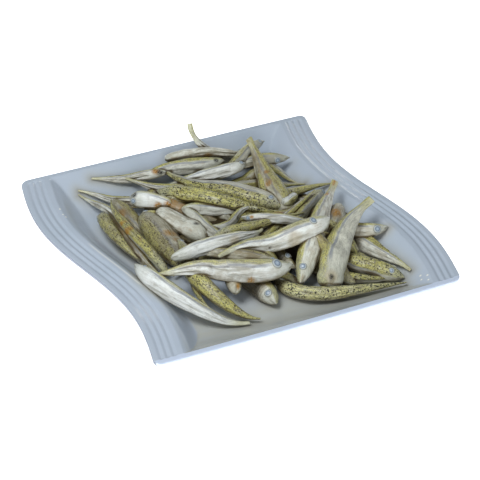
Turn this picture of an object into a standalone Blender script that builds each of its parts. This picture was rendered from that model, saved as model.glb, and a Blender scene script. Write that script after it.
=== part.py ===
"""A square white porcelain plate with wavy side rims, heaped with some fifty small silverside fish.

The plate is one solid. The heap is one solid too: a low mound with every fish that shows fused onto it.
Sizes are in millimetres and angles in degrees until a mesh is made. X runs along the plate's front edge,
Y from front to back and Z up. The origin is on the table, under the middle of the plate.
"""
import bpy
import bmesh
import numpy as np
from math import cos, hypot, pi, radians, sin

MM = 0.001

# Plate
PLATE_WIDTH = 250.0
PLATE_DEPTH = 245.0
PLATE_HEIGHT = 22.0
WELL_FLOOR = 5.0
WAVE = 10.0               # how far the side edges swing out and back
FRONT_BOW = 3.0           # how far the middle of the front edge stands forward
CORNER_RADIUS = 6.5
SHIFT = FRONT_BOW / 2.0    # moves everything back so that the origin is in the middle with the bow
EDGE_ROUNDING = 0.8
RIM_WIDTH = 23.0          # the broad left and right rims
RIM_SLOPE = 23.0          # from a rim down to the well floor
RIM_EDGE_THICKNESS = 2.8
RIM_THICKNESS = 4.2
RIDGE_COUNT = 3
RIDGE_PITCH = 5.0
RIDGE_START = 4.0
RIDGE_DEPTH = 0.8
LIP_WIDTH = 4.5           # the narrow front and back lips
LIP_FACE = 5.5
WALL_WIDTH = 38.0         # from a lip down to the well floor
WALL_CURVE = 1.9
UNDERSIDE_CURVE = 1.3
UNDERSIDE_TUCK = 6.0      # the underside reaches the table this much earlier than the well its floor
FOOT_RECESS = (126.0, 134.0)
FOOT_RECESS_DEPTH = 1.5
FOOT_RECESS_RADIUS = 14.0
SIDE_LINES = (0.0, 1.2, 4.0, 6.5, 9.0, 11.5, 14.0, 16.5, 19.0, 23.0, 26.0, 29.5, 33.5, 37.5, 41.0, 44.0, 46.0)
UNDERSIDE_LINES = (0.0, 19.0, 26.0, 29.5, 37.5, 41.0, 46.0)
END_LINES = (0.0, 1.0, 4.5, 6.5, 11.0, 17.0, 25.0, 34.0, 42.5)
FLOOR_COLUMNS = 3
FLOOR_ROWS = 15

# Heap
HEAP_GAP = 1.1            # clear of the glaze
MOUND_CENTRE = (8.0, 4.0)
MOUND_RADII = (62.0, 56.0)
MOUND_HEIGHT = 16.0
MOUND_SECTORS = 20
MOUND_RINGS = 4
SPINE_POINTS = 31
FISH_SIDES = 6
FISH_STATIONS = (0.0, 0.05, 0.14, 0.28, 0.46, 0.64, 0.80, 0.90, 1.0)
FLATNESS = 0.68           # thickness over depth of a body
PRESS = 2.0               # how far a soft fish presses into what it lies on
DROOP = 0.006             # how sharply a fish bends down over a support, per millimetre
CELL = 2.0                # grid of the height field that the fish are laid on
FIELD = 150.0

# Outline of a body from snout (0) to tail tip (1): place, half depth and half thickness over their largest
BODY_OUTLINE = (
    (0.00, 0.12, 0.12),
    (0.03, 0.34, 0.36),
    (0.08, 0.60, 0.64),
    (0.16, 0.84, 0.88),
    (0.28, 0.98, 1.00),
    (0.42, 1.00, 1.00),
    (0.56, 0.95, 0.92),
    (0.70, 0.76, 0.72),
    (0.82, 0.50, 0.46),
    (0.90, 0.30, 0.26),
    (0.95, 0.34, 0.16),
    (1.00, 0.30, 0.10),
)

# The fish in the order in which they lie on each other, lowest first. Each is the middle of its length (x, y),
# the heading of its head, its length, its bend from tail to head, the extra curl of both ends, its depth,
# the turn of its back (0 is back to the left of the heading, 90 back up, 180 back to the right) and the lift
# of its tail.
HIDDEN_FISH = (
    (76, 18, -72, 74, 15, 0, 13, 60, 0),
    (58, 34, 160, 80, -15, 0, 12, 30, 0),
    (20, 46, 30, 84, 20, 0, 12, 60, 0),
    (-8, 52, -75, 80, 10, 0, 12, 20, 0),
    (-30, -6, 20, 70, -15, 0, 12, 20, 0),
    (-42, 62, 60, 72, 0, 0, 11, 50, 0),
)
RIM_FISH = (
    (-70, -65, 128, 100, -64, 18, 18, -15, 0),
    (40, -91, 150, 108, -80, -45, 10, 50, 0),
)
BACK_FISH = (
    (40, 96, -36, 71, -5, -45, 11, 20, 24),
    (28, 94, 158, 78, 15, -10, 10, 60, 0),
    (-2, 93, -12, 73, 10, 20, 16, 20, 0),
    (66, 70, 126, 62, 38, 0, 9, 10, 0),
    (51, 50, 170, 66, 20, -20, 9, 0, 0),
    (44, 77, -10, 78, -15, 5, 12, 20, 0),
    (35, 72, 8, 89, 90, -60, 10, 40, 0),
    (51, 42, -96, 94, 0, 0, 18, 50, 10),
    (10, 70, -10, 69, 40, 20, 11, -20, 0),
)
LEFT_FISH = (
    (-84, 36, 92, 66, -32, 5, 13, 70, 0),
    (-58, 38, 90, 80, 0, 5, 10, 50, 0),
    (-75, 26, 94, 70, -45, 10, 12, 80, 0),
    (-56, 2, 91, 92, 0, 12, 16, 50, 0),
    (-54, -36, 82, 84, -5, 22, 9, 40, 0),
    (-67, 47, -74, 114, -15, 18, 9, -10, 0),
    (-54, 80, -38, 84, 10, -5, 10, 10, 0),
)
RIGHT_FISH = (
    (59, -75, 146, 78, -50, 5, 9, 90, 0),
    (70, -63, -60, 83, 34, -20, 15, 80, 0),
    (89, -50, 101, 90, 0, 0, 15, -20, 0),
    (89, -31, 102, 70, -5, 0, 8, 90, 0),
    (72, -26, -42, 84, 62, 5, 14, 20, 0),
    (64, -36, -132, 76, -5, 0, 11, 20, 0),
    (39, 0, 1, 82, 38, 18, 14, 30, 0),
    (52, -6, 31, 87, 20, -15, 12, 60, 0),
    (36, -9, -158, 76, -10, 0, 8, 30, 5),
)
FRONT_FISH = (
    (-48, -63, 117, 79, -70, 10, 12, 50, 0),
    (-15, -45, -74, 76, -22, -12, 19, 20, 0),
    (-23, -32, -106, 76, 0, 0, 13, -30, 0),
    (-22, -40, -32, 68, 10, 0, 11, 30, 0),
    (10, -18, -76, 80, 25, 10, 13, 20, 0),
)
MIDDLE_FISH = (
    (-36, 98, -20, 73, 0, -5, 10, 10, 0),
    (-20, 75, -34, 74, 35, 0, 9, 60, 0),
    (-30, 39, 136, 72, 75, 40, 10, 40, 0),
    (-37, 36, -69, 70, 5, -8, 14, -20, 0),
    (-27, 41, 133, 80, 28, -8, 16, 0, 0),
    (-9, 26, 157, 78, -50, -12, 12, 10, 0),
    (-21, -2, 97, 79, 28, 15, 10, 150, 0),
    (-1, 29, 137, 105, -45, 2, 15, 50, 0),
    (12, 49, -54, 102, 18, -28, 15, 140, 0),
    (-70, 27, -87, 102, 18, -2, 10, 90, 0),
)
TOP_FISH = (
    (11, -15, 180, 79, -2, 14, 10, 60, 0),
    (30, -21, 154, 75, -28, 5, 10, 0, 0),
    (-10, 5, -169, 72, 12, -15, 9, 0, 0),
    (-26, -26, 175, 83, -36, -10, 14, -30, 0),
    (-36, -52, -7, 104, 0, 32, 22, 15, 0),
    (53, -31, -132, 110, 2, 0, 17, 160, 14),
    (61, -50, -140, 88, 50, -10, 21, 165, 16),
    (13, -36, 6, 97, 12, 28, 17, 15, 0),
    (31, -16, 50, 60, 5, 0, 7, 0, 0),
)
FISH = HIDDEN_FISH + RIM_FISH + BACK_FISH + LEFT_FISH + RIGHT_FISH + FRONT_FISH + MIDDLE_FISH + TOP_FISH


def smoothstep(t):
    """Runs from 0 to 1 with level ends."""
    t = np.clip(t, 0.0, 1.0)
    return t * t * (3.0 - 2.0 * t)


def side_wave(y):
    """How far both side edges stand to the right at this place from front to back."""
    return -WAVE * np.sin(2.0 * pi * y / PLATE_DEPTH)


def side_height(inset):
    """Height of the glaze at this distance in from a side edge, with the ridges left out."""
    edge = EDGE_ROUNDING * np.clip(1.0 - inset / SIDE_LINES[1], 0.0, 1.0)
    drop = (PLATE_HEIGHT - WELL_FLOOR) * smoothstep((inset - RIM_WIDTH) / RIM_SLOPE)
    return PLATE_HEIGHT - edge - drop


def end_height(inset):
    """Height of the glaze at this distance in from the front or back edge."""
    edge = EDGE_ROUNDING * np.clip(1.0 - inset / END_LINES[1], 0.0, 1.0)
    fall = (1.0 - np.clip((inset - LIP_WIDTH) / WALL_WIDTH, 0.0, 1.0)) ** WALL_CURVE
    return WELL_FLOOR + (PLATE_HEIGHT - WELL_FLOOR) * fall - edge


def ridge_depth(inset):
    """Depth of the grooves between the rim's parallel ridges."""
    place = (inset - RIDGE_START) / RIDGE_PITCH
    inside = (place > 0.0) & (place < RIDGE_COUNT)
    return np.where(inside, RIDGE_DEPTH * 0.5 * (1.0 - np.cos(2.0 * pi * place)), 0.0)


def side_underside(inset):
    """Height of the plate's underside at this distance in from a side edge."""
    rim = RIM_EDGE_THICKNESS + (RIM_THICKNESS - RIM_EDGE_THICKNESS) * np.clip(inset / RIM_WIDTH, 0.0, 1.0)
    tuck = RIM_SLOPE + RIM_THICKNESS
    return (PLATE_HEIGHT - rim) * (1.0 - smoothstep((inset - RIM_WIDTH + RIM_THICKNESS) / tuck))


def end_underside(inset):
    """Height of the plate's underside at this distance in from the front or back edge."""
    run = LIP_WIDTH + WALL_WIDTH - UNDERSIDE_TUCK
    return (PLATE_HEIGHT - LIP_FACE) * (1.0 - np.clip(inset / run, 0.0, 1.0)) ** UNDERSIDE_CURVE


def plan(side, end, column_sign, row_sign):
    """Plan position of the point at these distances in from a side edge and an end edge."""
    a, b = CORNER_RADIUS - side, CORNER_RADIUS - end
    if a > 0.0 and b > 0.0:
        shrink = max(a, b) / hypot(a, b)
        side, end = CORNER_RADIUS - a * shrink, CORNER_RADIUS - b * shrink
    u = column_sign * (PLATE_WIDTH / 2.0 - side)
    y = row_sign * (PLATE_DEPTH / 2.0 - end)
    x = u + side_wave(y)
    if row_sign < 0:
        y -= FRONT_BOW * (1.0 - (2.0 * u / PLATE_WIDTH) ** 2) * (2.0 * y / PLATE_DEPTH) ** 2
    return x, y


def grid_lines(edge_lines, half, inner):
    """Lines from the low edge to the high one as (inset, sign) pairs, with evenly spaced ones between."""
    low = [(inset, -1) for inset in edge_lines]
    reach = half - edge_lines[-1]
    middle = [reach * (2.0 * (i + 1) / (inner + 1) - 1.0) for i in range(inner)]
    between = [(half - abs(m), -1 if m < 0 else 1) for m in middle]
    return low + between + [(inset, 1) for inset in reversed(edge_lines)]


def plate_mesh():
    """The plate's top and underside as two grids, joined round the edge."""
    bm = bmesh.new()
    rows = grid_lines(END_LINES, PLATE_DEPTH / 2.0, FLOOR_ROWS)
    top_columns = grid_lines(SIDE_LINES, PLATE_WIDTH / 2.0, FLOOR_COLUMNS)
    low_columns = grid_lines(UNDERSIDE_LINES, PLATE_WIDTH / 2.0, FLOOR_COLUMNS)

    def grid(columns, height):
        verts = []
        for end, row_sign in rows:
            line = []
            for side, column_sign in columns:
                x, y = plan(side, end, column_sign, row_sign)
                line.append(bm.verts.new((x * MM, y * MM, float(height(side, end)) * MM)))
            verts.append(line)
        return verts

    top = grid(top_columns, lambda s, e: max(side_height(s) - ridge_depth(s), end_height(e)))
    low = grid(low_columns, lambda s, e: max(side_underside(s), end_underside(e)))
    for verts, upward in ((top, True), (low, False)):
        for j in range(len(rows) - 1):
            for i in range(len(verts[0]) - 1):
                quad = [verts[j][i], verts[j][i + 1], verts[j + 1][i + 1], verts[j + 1][i]]
                bm.faces.new(quad if upward else quad[::-1])
    for j in range(len(rows) - 1):
        bm.faces.new((low[j][0], top[j][0], top[j + 1][0], low[j + 1][0]))
        bm.faces.new((low[j + 1][-1], top[j + 1][-1], top[j][-1], low[j][-1]))
    for j, forward in ((0, True), (len(rows) - 1, False)):
        for i in range(len(low_columns) - 1):
            first = top_columns.index(low_columns[i])
            last = top_columns.index(low_columns[i + 1])
            face = [low[j][i], low[j][i + 1]] + [top[j][k] for k in range(last, first - 1, -1)]
            bm.faces.new(face if forward else face[::-1])
    bmesh.ops.triangulate(bm, faces=bm.faces[:])
    bmesh.ops.dissolve_limit(bm, angle_limit=radians(0.1), verts=bm.verts[:], edges=bm.edges[:])
    bmesh.ops.triangulate(bm, faces=bm.faces[:])
    return finished_mesh(bm, "plate")


def foot_recess_mesh():
    """The shallow hollow inside the foot ring, as a cutter."""
    bm = bmesh.new()
    half_x, half_y = FOOT_RECESS[0] / 2.0, FOOT_RECESS[1] / 2.0
    corner_steps = 5
    outline = []
    for quarter, (sx, sy) in enumerate(((1, 1), (-1, 1), (-1, -1), (1, -1))):
        for k in range(corner_steps + 1):
            a = (quarter + k / corner_steps) * pi / 2.0
            x = sx * (half_x - FOOT_RECESS_RADIUS) + FOOT_RECESS_RADIUS * cos(a)
            y = sy * (half_y - FOOT_RECESS_RADIUS) + FOOT_RECESS_RADIUS * sin(a)
            outline.append(bm.verts.new((x * MM, y * MM, -1.0 * MM)))
    base = bm.faces.new(outline)
    lifted = bmesh.ops.extrude_face_region(bm, geom=[base])
    risen = [v for v in lifted["geom"] if isinstance(v, bmesh.types.BMVert)]
    bmesh.ops.translate(bm, verts=risen, vec=(0.0, 0.0, (1.0 + FOOT_RECESS_DEPTH) * MM))
    bmesh.ops.recalc_face_normals(bm, faces=bm.faces[:])
    return finished_mesh(bm, "foot_recess")


def finished_mesh(bm, name):
    """Turns a bmesh into a mesh in its final place and frees it."""
    bmesh.ops.translate(bm, verts=bm.verts[:], vec=(0.0, SHIFT * MM, 0.0))
    mesh = bpy.data.meshes.new(name)
    bm.to_mesh(mesh)
    bm.free()
    return mesh


def new_object(name, mesh):
    """Links an object for this mesh into the scene."""
    obj = bpy.data.objects.new(name, mesh)
    bpy.context.scene.collection.objects.link(obj)
    return obj


def material(name, colour, roughness):
    """A plain Principled material."""
    mat = bpy.data.materials.new(name)
    mat.use_nodes = True
    shader = mat.node_tree.nodes["Principled BSDF"]
    shader.inputs["Base Color"].default_value = (*colour, 1.0)
    shader.inputs["Roughness"].default_value = roughness
    shader.inputs["Metallic"].default_value = 0.0
    return mat


def apply_modifiers(obj):
    """Replaces the object's mesh by its evaluated one."""
    evaluated = obj.evaluated_get(bpy.context.evaluated_depsgraph_get())
    mesh = bpy.data.meshes.new_from_object(evaluated)
    obj.modifiers.clear()
    obj.data = mesh


def make_plate():
    """The plate, with the recess of its foot cut out."""
    plate = new_object("plate", plate_mesh())
    cutter = new_object("foot_recess", foot_recess_mesh())
    cut = plate.modifiers.new("recess", "BOOLEAN")
    cut.operation = "DIFFERENCE"
    cut.object = cutter
    bpy.context.view_layer.update()
    apply_modifiers(plate)
    bpy.data.objects.remove(cutter)
    plate.data.materials.clear()
    plate.data.materials.append(material("porcelain", (0.72, 0.77, 0.85), 0.12))


def fish_spine(x, y, heading, length, bend, curl):
    """Plan points of a fish's middle line, from snout to tail tip."""
    steps = 200
    u = np.linspace(-0.5, 0.5, steps)
    angle = np.radians(heading - bend * u + curl * (4.0 * u * u - 1.0 / 3.0))
    stride = -length / (steps - 1)
    dx, dy = np.cos(angle) * stride, np.sin(angle) * stride
    px = np.concatenate(([0.0], np.cumsum(0.5 * (dx[1:] + dx[:-1]))))
    py = np.concatenate(([0.0], np.cumsum(0.5 * (dy[1:] + dy[:-1]))))
    px += x - px[steps // 2]
    py += y - py[steps // 2]
    t = np.linspace(-0.5, 0.5, SPINE_POINTS)
    return np.interp(t, u, px), np.interp(t, u, py)


def half_sizes(places, depth):
    """Half depth and half thickness of a body at these places along it."""
    outline = np.array(BODY_OUTLINE)
    half_depth = np.interp(places, outline[:, 0], outline[:, 1]) * depth / 2.0
    half_thickness = np.interp(places, outline[:, 0], outline[:, 2]) * depth / 2.0 * FLATNESS
    return half_depth, half_thickness


def glaze_field(grid_x, grid_y):
    """Height of the plate over a plan grid, as its flat facets have it, raised by the gap."""
    side = PLATE_WIDTH / 2.0 - np.abs(grid_x - side_wave(grid_y))
    end = PLATE_DEPTH / 2.0 - np.abs(grid_y)
    sides = np.interp(side, SIDE_LINES, side_height(np.array(SIDE_LINES)))
    ends = np.interp(end, END_LINES, end_height(np.array(END_LINES)))
    return np.where((side < 0.0) | (end < 0.0), 0.0, np.maximum(sides, ends)) + HEAP_GAP


def lay_fish(fish, field, glaze, grid_x, grid_y):
    """Lays one fish on the heap: returns its 3-D middle line and raises the height field under it."""
    x, y, heading, length, bend, curl, depth, turn, lift = fish
    px, py = fish_spine(x, y, heading, length, bend, curl)
    place = np.linspace(0.0, 1.0, SPINE_POINTS)
    half_depth, half_thickness = half_sizes(place, depth)
    c, s = cos(radians(turn)), sin(radians(turn))
    across = np.hypot(half_depth * c, half_thickness * s)
    upward = np.hypot(half_depth * s, half_thickness * c)
    run = place * length
    distance_2 = (grid_x[..., None] - px) ** 2 + (grid_y[..., None] - py) ** 2
    nearest = distance_2.argmin(axis=-1)
    distance = np.sqrt(distance_2.min(axis=-1))
    under = distance < across[nearest]
    below = np.where(under, upward[nearest] * np.sqrt(np.clip(1.0 - (distance / across[nearest]) ** 2, 0, 1)), 0)
    i = np.clip(np.rint((px + FIELD) / CELL).astype(int), 0, len(field) - 1)
    j = np.clip(np.rint((py + FIELD) / CELL).astype(int), 0, len(field) - 1)
    rest = field[i, j] - PRESS + upward
    floor = glaze[i, j] + upward
    spots = nearest[under]
    touch = field[under] - PRESS + below[under]
    highest = np.full(SPINE_POINTS, -np.inf)
    np.maximum.at(highest, spots, touch)
    total = np.bincount(spots, touch, SPINE_POINTS)
    count = np.bincount(spots, minlength=SPINE_POINTS)
    found = count > 0
    rest[found] = 0.5 * (highest[found] + total[found] / count[found])
    np.maximum.at(floor, spots, glaze[under] + below[under])
    rest = np.maximum(rest, floor)
    z = (rest[None, :] - DROOP * (run[:, None] - run[None, :]) ** 2).max(axis=1)
    for _ in range(10):
        padded = np.concatenate((z[:1], z, z[-1:]))
        z = 0.25 * padded[:-2] + 0.5 * padded[1:-1] + 0.25 * padded[2:]
    z = np.maximum(z, floor)
    z += lift * np.clip((place - 0.45) / 0.55, 0.0, 1.0) ** 1.6
    top = np.where(under, z[nearest] + below, 0.0)
    np.maximum(field, top, out=field)
    return np.stack((px, py, z), axis=1)


def fish_mesh(fish, line):
    """A plain fish: rings of a few sides round its middle line, closed at snout and tail."""
    depth, turn = fish[6], radians(fish[7])
    places = np.linspace(0.0, 1.0, SPINE_POINTS)
    half_depth, half_thickness = half_sizes(np.array(FISH_STATIONS), depth)
    bm = bmesh.new()
    rings = []
    for place, tall, thick in zip(FISH_STATIONS, half_depth, half_thickness):
        centre = np.array([np.interp(place, places, line[:, k]) for k in range(3)])
        ahead = np.array([np.interp(max(place - 0.04, 0.0), places, line[:, k]) for k in range(3)])
        behind = np.array([np.interp(min(place + 0.04, 1.0), places, line[:, k]) for k in range(3)])
        forward = (ahead - behind) / np.linalg.norm(ahead - behind)
        left = np.cross((0.0, 0.0, 1.0), forward)
        left /= np.linalg.norm(left)
        up = np.cross(forward, left)
        back = cos(turn) * left + sin(turn) * up
        flank = cos(turn) * up - sin(turn) * left
        ring = []
        for k in range(FISH_SIDES):
            a = 2.0 * pi * k / FISH_SIDES
            point = centre + back * tall * cos(a) + flank * thick * sin(a)
            ring.append(bm.verts.new(point * MM))
        rings.append(ring)
    for ring, after in zip(rings, rings[1:]):
        for k in range(FISH_SIDES):
            m = (k + 1) % FISH_SIDES
            bm.faces.new((ring[k], ring[m], after[m], after[k]))
    bm.faces.new(rings[0][::-1])
    bm.faces.new(rings[-1])
    bmesh.ops.triangulate(bm, faces=bm.faces[:])
    bmesh.ops.recalc_face_normals(bm, faces=bm.faces[:])
    return finished_mesh(bm, "fish")


def mound_height(x, y):
    """Height of the mound of unseen fish at this place."""
    out = ((x - MOUND_CENTRE[0]) / MOUND_RADII[0]) ** 2 + ((y - MOUND_CENTRE[1]) / MOUND_RADII[1]) ** 2
    return WELL_FLOOR + MOUND_HEIGHT * (1.0 - out)


def mound_mesh():
    """The low mound that fills the heap's middle."""
    bm = bmesh.new()
    base = WELL_FLOOR + HEAP_GAP
    edge = 1.5
    rim_ratio = (1.0 - (HEAP_GAP + edge) / MOUND_HEIGHT) ** 0.5
    peak = bm.verts.new((MOUND_CENTRE[0] * MM, MOUND_CENTRE[1] * MM, (WELL_FLOOR + MOUND_HEIGHT) * MM))
    rings = []
    for ring in range(1, MOUND_RINGS + 1):
        reach = rim_ratio * ring / MOUND_RINGS
        verts = []
        for k in range(MOUND_SECTORS):
            a = 2.0 * pi * k / MOUND_SECTORS
            x = MOUND_CENTRE[0] + MOUND_RADII[0] * reach * cos(a)
            y = MOUND_CENTRE[1] + MOUND_RADII[1] * reach * sin(a)
            verts.append(bm.verts.new((x * MM, y * MM, mound_height(x, y) * MM)))
        rings.append(verts)
    foot = [bm.verts.new((v.co.x, v.co.y, base * MM)) for v in rings[-1]]
    for k in range(MOUND_SECTORS):
        m = (k + 1) % MOUND_SECTORS
        bm.faces.new((peak, rings[0][k], rings[0][m]))
        for ring, after in zip(rings, rings[1:] + [foot]):
            bm.faces.new((ring[k], after[k], after[m], ring[m]))
    bm.faces.new(foot[::-1])
    bmesh.ops.triangulate(bm, faces=bm.faces[:])
    return finished_mesh(bm, "mound")


def keep_main_body(mesh):
    """Keeps the largest closed shell: sealed hollows are filled and loose scraps dropped."""
    bm = bmesh.new()
    bm.from_mesh(mesh)
    left = set(bm.faces)
    shells = []
    while left:
        stack = [left.pop()]
        shell = []
        while stack:
            face = stack.pop()
            shell.append(face)
            for edge in face.edges:
                for other in edge.link_faces:
                    if other in left:
                        left.remove(other)
                        stack.append(other)
        volume = sum(f.verts[0].co.dot(f.verts[1].co.cross(f.verts[2].co)) for f in shell) / 6.0
        shells.append((volume, shell))
    shells.sort(key=lambda item: item[0])
    for _, shell in shells[:-1]:
        bmesh.ops.delete(bm, geom=shell, context="FACES")
    bm.to_mesh(mesh)
    bm.free()


def make_heap():
    """The mound with every fish fused onto it, as one closed solid."""
    ticks = np.arange(-FIELD, FIELD + CELL / 2.0, CELL)
    grid_x, grid_y = np.meshgrid(ticks, ticks, indexing="ij")
    glaze = glaze_field(grid_x, grid_y)
    field = np.maximum(glaze, mound_height(grid_x, grid_y))
    heap = new_object("fish_heap", mound_mesh())
    group = bpy.data.collections.new("fish")
    for fish in FISH:
        line = lay_fish(fish, field, glaze, grid_x, grid_y)
        group.objects.link(bpy.data.objects.new("fish", fish_mesh(fish, line)))
    fuse = heap.modifiers.new("fuse", "BOOLEAN")
    fuse.operation = "UNION"
    fuse.operand_type = "COLLECTION"
    fuse.collection = group
    bpy.context.view_layer.update()
    apply_modifiers(heap)
    for obj in list(group.objects):
        bpy.data.objects.remove(obj)
    bpy.data.collections.remove(group)
    keep_main_body(heap.data)
    heap.data.materials.clear()
    heap.data.materials.append(material("fish_skin", (0.50, 0.47, 0.36), 0.45))


def main():
    for obj in list(bpy.data.objects):
        bpy.data.objects.remove(obj)
    make_plate()
    make_heap()


main()
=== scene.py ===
"""A square white porcelain plate with wavy rims, heaped with small raw silversides.

Sizes are in millimetres and angles in degrees until a mesh is made. X runs along the plate's front edge,
Y from front to back and Z up.
"""
from math import cos, pi, radians, sin

import bpy
import numpy as np
from mathutils import Matrix, Vector
from mathutils.kdtree import KDTree


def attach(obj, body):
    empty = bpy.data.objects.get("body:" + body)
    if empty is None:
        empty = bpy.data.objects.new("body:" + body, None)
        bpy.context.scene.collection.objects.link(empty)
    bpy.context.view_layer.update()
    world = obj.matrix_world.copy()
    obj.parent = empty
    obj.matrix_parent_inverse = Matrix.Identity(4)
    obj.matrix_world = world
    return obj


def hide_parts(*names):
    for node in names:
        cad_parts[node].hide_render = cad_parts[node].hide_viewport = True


bl_info = {
    "name": "Plate of Silversides",
    "version": (1, 0, 0),
    "blender": (4, 5, 0),
    "location": "3D View > Sidebar > Silversides",
    "description": "Lays a heap of small silvery fish on a square porcelain plate with wavy rims",
    "category": "Add Mesh",
}

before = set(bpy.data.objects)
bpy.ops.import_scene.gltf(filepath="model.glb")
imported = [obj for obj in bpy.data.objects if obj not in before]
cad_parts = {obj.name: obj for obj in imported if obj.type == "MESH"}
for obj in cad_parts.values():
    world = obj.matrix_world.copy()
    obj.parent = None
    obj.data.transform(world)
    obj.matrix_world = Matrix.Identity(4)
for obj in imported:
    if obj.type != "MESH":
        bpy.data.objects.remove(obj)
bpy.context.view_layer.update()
MM = 0.001

# Plate
PLATE_WIDTH = 250.0
PLATE_DEPTH = 245.0
PLATE_HEIGHT = 22.0
WELL_FLOOR = 5.0
WAVE = 10.0
FRONT_BOW = 1.2
SHIFT = 1.5
CORNER_RADIUS = 6.5
EDGE_ROUNDING = 0.8
EDGE_ROUND_WIDTH = 1.2
EDGE_LINES = (0.0, 0.1, 0.3, 0.6, 0.9, 1.2)
RIM_WIDTH = 23.0
RIM_SLOPE = 23.0
RIM_EDGE_THICKNESS = 2.8
RIM_THICKNESS = 4.2
LIP_WIDTH = 4.5
LIP_FACE = 4.0
WALL_WIDTH = 38.0
WALL_CURVE = 1.9
UNDERSIDE_CURVE = 1.3
UNDERSIDE_TUCK = 6.0
FOOT_RECESS = (126.0, 134.0)
FOOT_RECESS_DEPTH = 1.5
FOOT_RECESS_RADIUS = 14.0
FOOT_RECESS_BLEND = 4.0
CREASE_SOFTNESS = 0.9
BREAK = 0.5
GLEAM_INSET = 22.0
GLEAM_WIDTH = 0.5
GLEAM_RANGE = (-36.0, 31.0)
GLEAM_FADE = 8.0
GLEAM_STRENGTH = 0.7
GLEAM_COLOUR = (1.0, 0.98, 0.88)
# Small glints on the rims: place and radius
GLINTS = ((101.4, -101.3, 0.8), (99.9, -105.3, 0.7), (104.4, -105.8, 0.8), (102.5, -110.4, 0.7),
          (-111.5, 77.6, 0.8), (-112.2, 70.1, 0.7), (-111.2, 66.6, 0.8))
# Places at which the heap's height field takes the plate's outline, in from its sides and its ends
GLAZE_LINES = (
    0.0, 1.2, 4.0, 6.5, 9.0, 11.5, 14.0, 16.5, 19.0, 23.0, 26.0, 29.5, 33.5, 37.5, 41.0, 44.0, 46.0
)
LIP_LINES = (0.0, 1.0, 4.5, 6.5, 11.0, 17.0, 25.0, 34.0, 42.5)

# Heap
HEAP_GAP = 1.1
MOUND_CENTRE = (8.0, 4.0)
MOUND_RADII = (62.0, 56.0)
MOUND_HEIGHT = 16.0
CORE_RINGS = 14
CORE_SECTORS = 64
CORE_REACH = 0.93
SPINE_POINTS = 31
SPINE_STEPS = 200
FLATNESS = 0.68
ROUNDNESS = 0.80
CUTS = {"stub": 0.68, "short": 0.42}
PRESS = 2.0
DROOP = 0.006
LINE_STEPS = 10
ROOF_STEPS = 20
LIFT_START = 0.45
LIFT_CURVE = 1.6
TUCK = 1.5
OUTLINE_BLUR = 8
EYE_SHARE = 0.145
EYE_BULGE = 0.32
EYE_SEGMENTS = 20
EYE_SUNK = 0.97
SKIN_OFFSET = (37.0, 11.0, 23.0)
CONTACT_REACH = 2.6
FISH_SHADE_REACH = 11.0
BLUR_STEPS = 14
CELL = 2.0
FIELD = 150.0

# The plain outline that the fish are laid with, from snout (0) to tail tip (1): place, half depth and half
# thickness over their largest
PLAIN_OUTLINE = (
    (0.00, 0.12, 0.12),
    (0.03, 0.34, 0.36),
    (0.08, 0.60, 0.64),
    (0.16, 0.84, 0.88),
    (0.28, 0.98, 1.00),
    (0.42, 1.00, 1.00),
    (0.56, 0.95, 0.92),
    (0.70, 0.76, 0.72),
    (0.82, 0.50, 0.46),
    (0.90, 0.30, 0.26),
    (0.95, 0.34, 0.16),
    (1.00, 0.30, 0.10),
)

# The true outline: place, half depth above and below the middle line and half thickness
BODY_OUTLINE = (
    (0.150, 0.84, 0.94, 0.98),
    (0.210, 0.93, 1.05, 1.04),
    (0.300, 0.98, 1.10, 1.06),
    (0.420, 0.96, 1.06, 1.02),
    (0.550, 0.86, 0.92, 0.88),
    (0.660, 0.72, 0.74, 0.72),
    (0.760, 0.55, 0.55, 0.54),
    (0.840, 0.40, 0.39, 0.40),
    (0.890, 0.31, 0.30, 0.30),
)
# How the outline begins for each kind of head
HEAD_OUTLINES = {
    "eyed": (
        (0.000, 0.06, 0.10, 0.12),
        (0.012, 0.16, 0.20, 0.26),
        (0.030, 0.30, 0.35, 0.44),
        (0.060, 0.48, 0.56, 0.66),
        (0.100, 0.66, 0.76, 0.86),
    ),
    "snub": (
        (0.000, 0.30, 0.34, 0.34),
        (0.012, 0.56, 0.60, 0.60),
        (0.030, 0.76, 0.80, 0.80),
        (0.060, 0.90, 0.93, 0.92),
        (0.100, 0.96, 1.00, 0.98),
    ),
    "worn": (
        (0.000, 0.14, 0.18, 0.20),
        (0.012, 0.32, 0.36, 0.42),
        (0.030, 0.48, 0.54, 0.58),
        (0.060, 0.62, 0.68, 0.76),
        (0.100, 0.74, 0.82, 0.90),
    ),
}
# How the outline ends for each kind of tail
TAIL_OUTLINES = {
    "forked": (
        (0.920, 0.28, 0.28, 0.20),
        (0.950, 0.28, 0.28, 0.14),
        (0.975, 0.34, 0.34, 0.10),
        (1.000, 0.36, 0.36, 0.07),
    ),
    "broad": (
        (0.920, 0.31, 0.31, 0.24),
        (0.950, 0.32, 0.32, 0.18),
        (0.975, 0.34, 0.34, 0.13),
        (1.000, 0.31, 0.31, 0.09),
    ),
    "narrow": (
        (0.920, 0.26, 0.25, 0.22),
        (0.950, 0.23, 0.22, 0.16),
        (0.975, 0.21, 0.20, 0.12),
        (1.000, 0.16, 0.15, 0.09),
    ),
}
# A fish whose far end is cut off or folded under
BLUNT_OUTLINE = (
    (0.550, 0.92, 1.00, 1.00),
    (0.750, 0.86, 0.92, 0.94),
    (0.880, 0.74, 0.80, 0.82),
    (0.950, 0.54, 0.58, 0.60),
    (0.985, 0.30, 0.32, 0.34),
    (1.000, 0.12, 0.12, 0.14),
)

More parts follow.
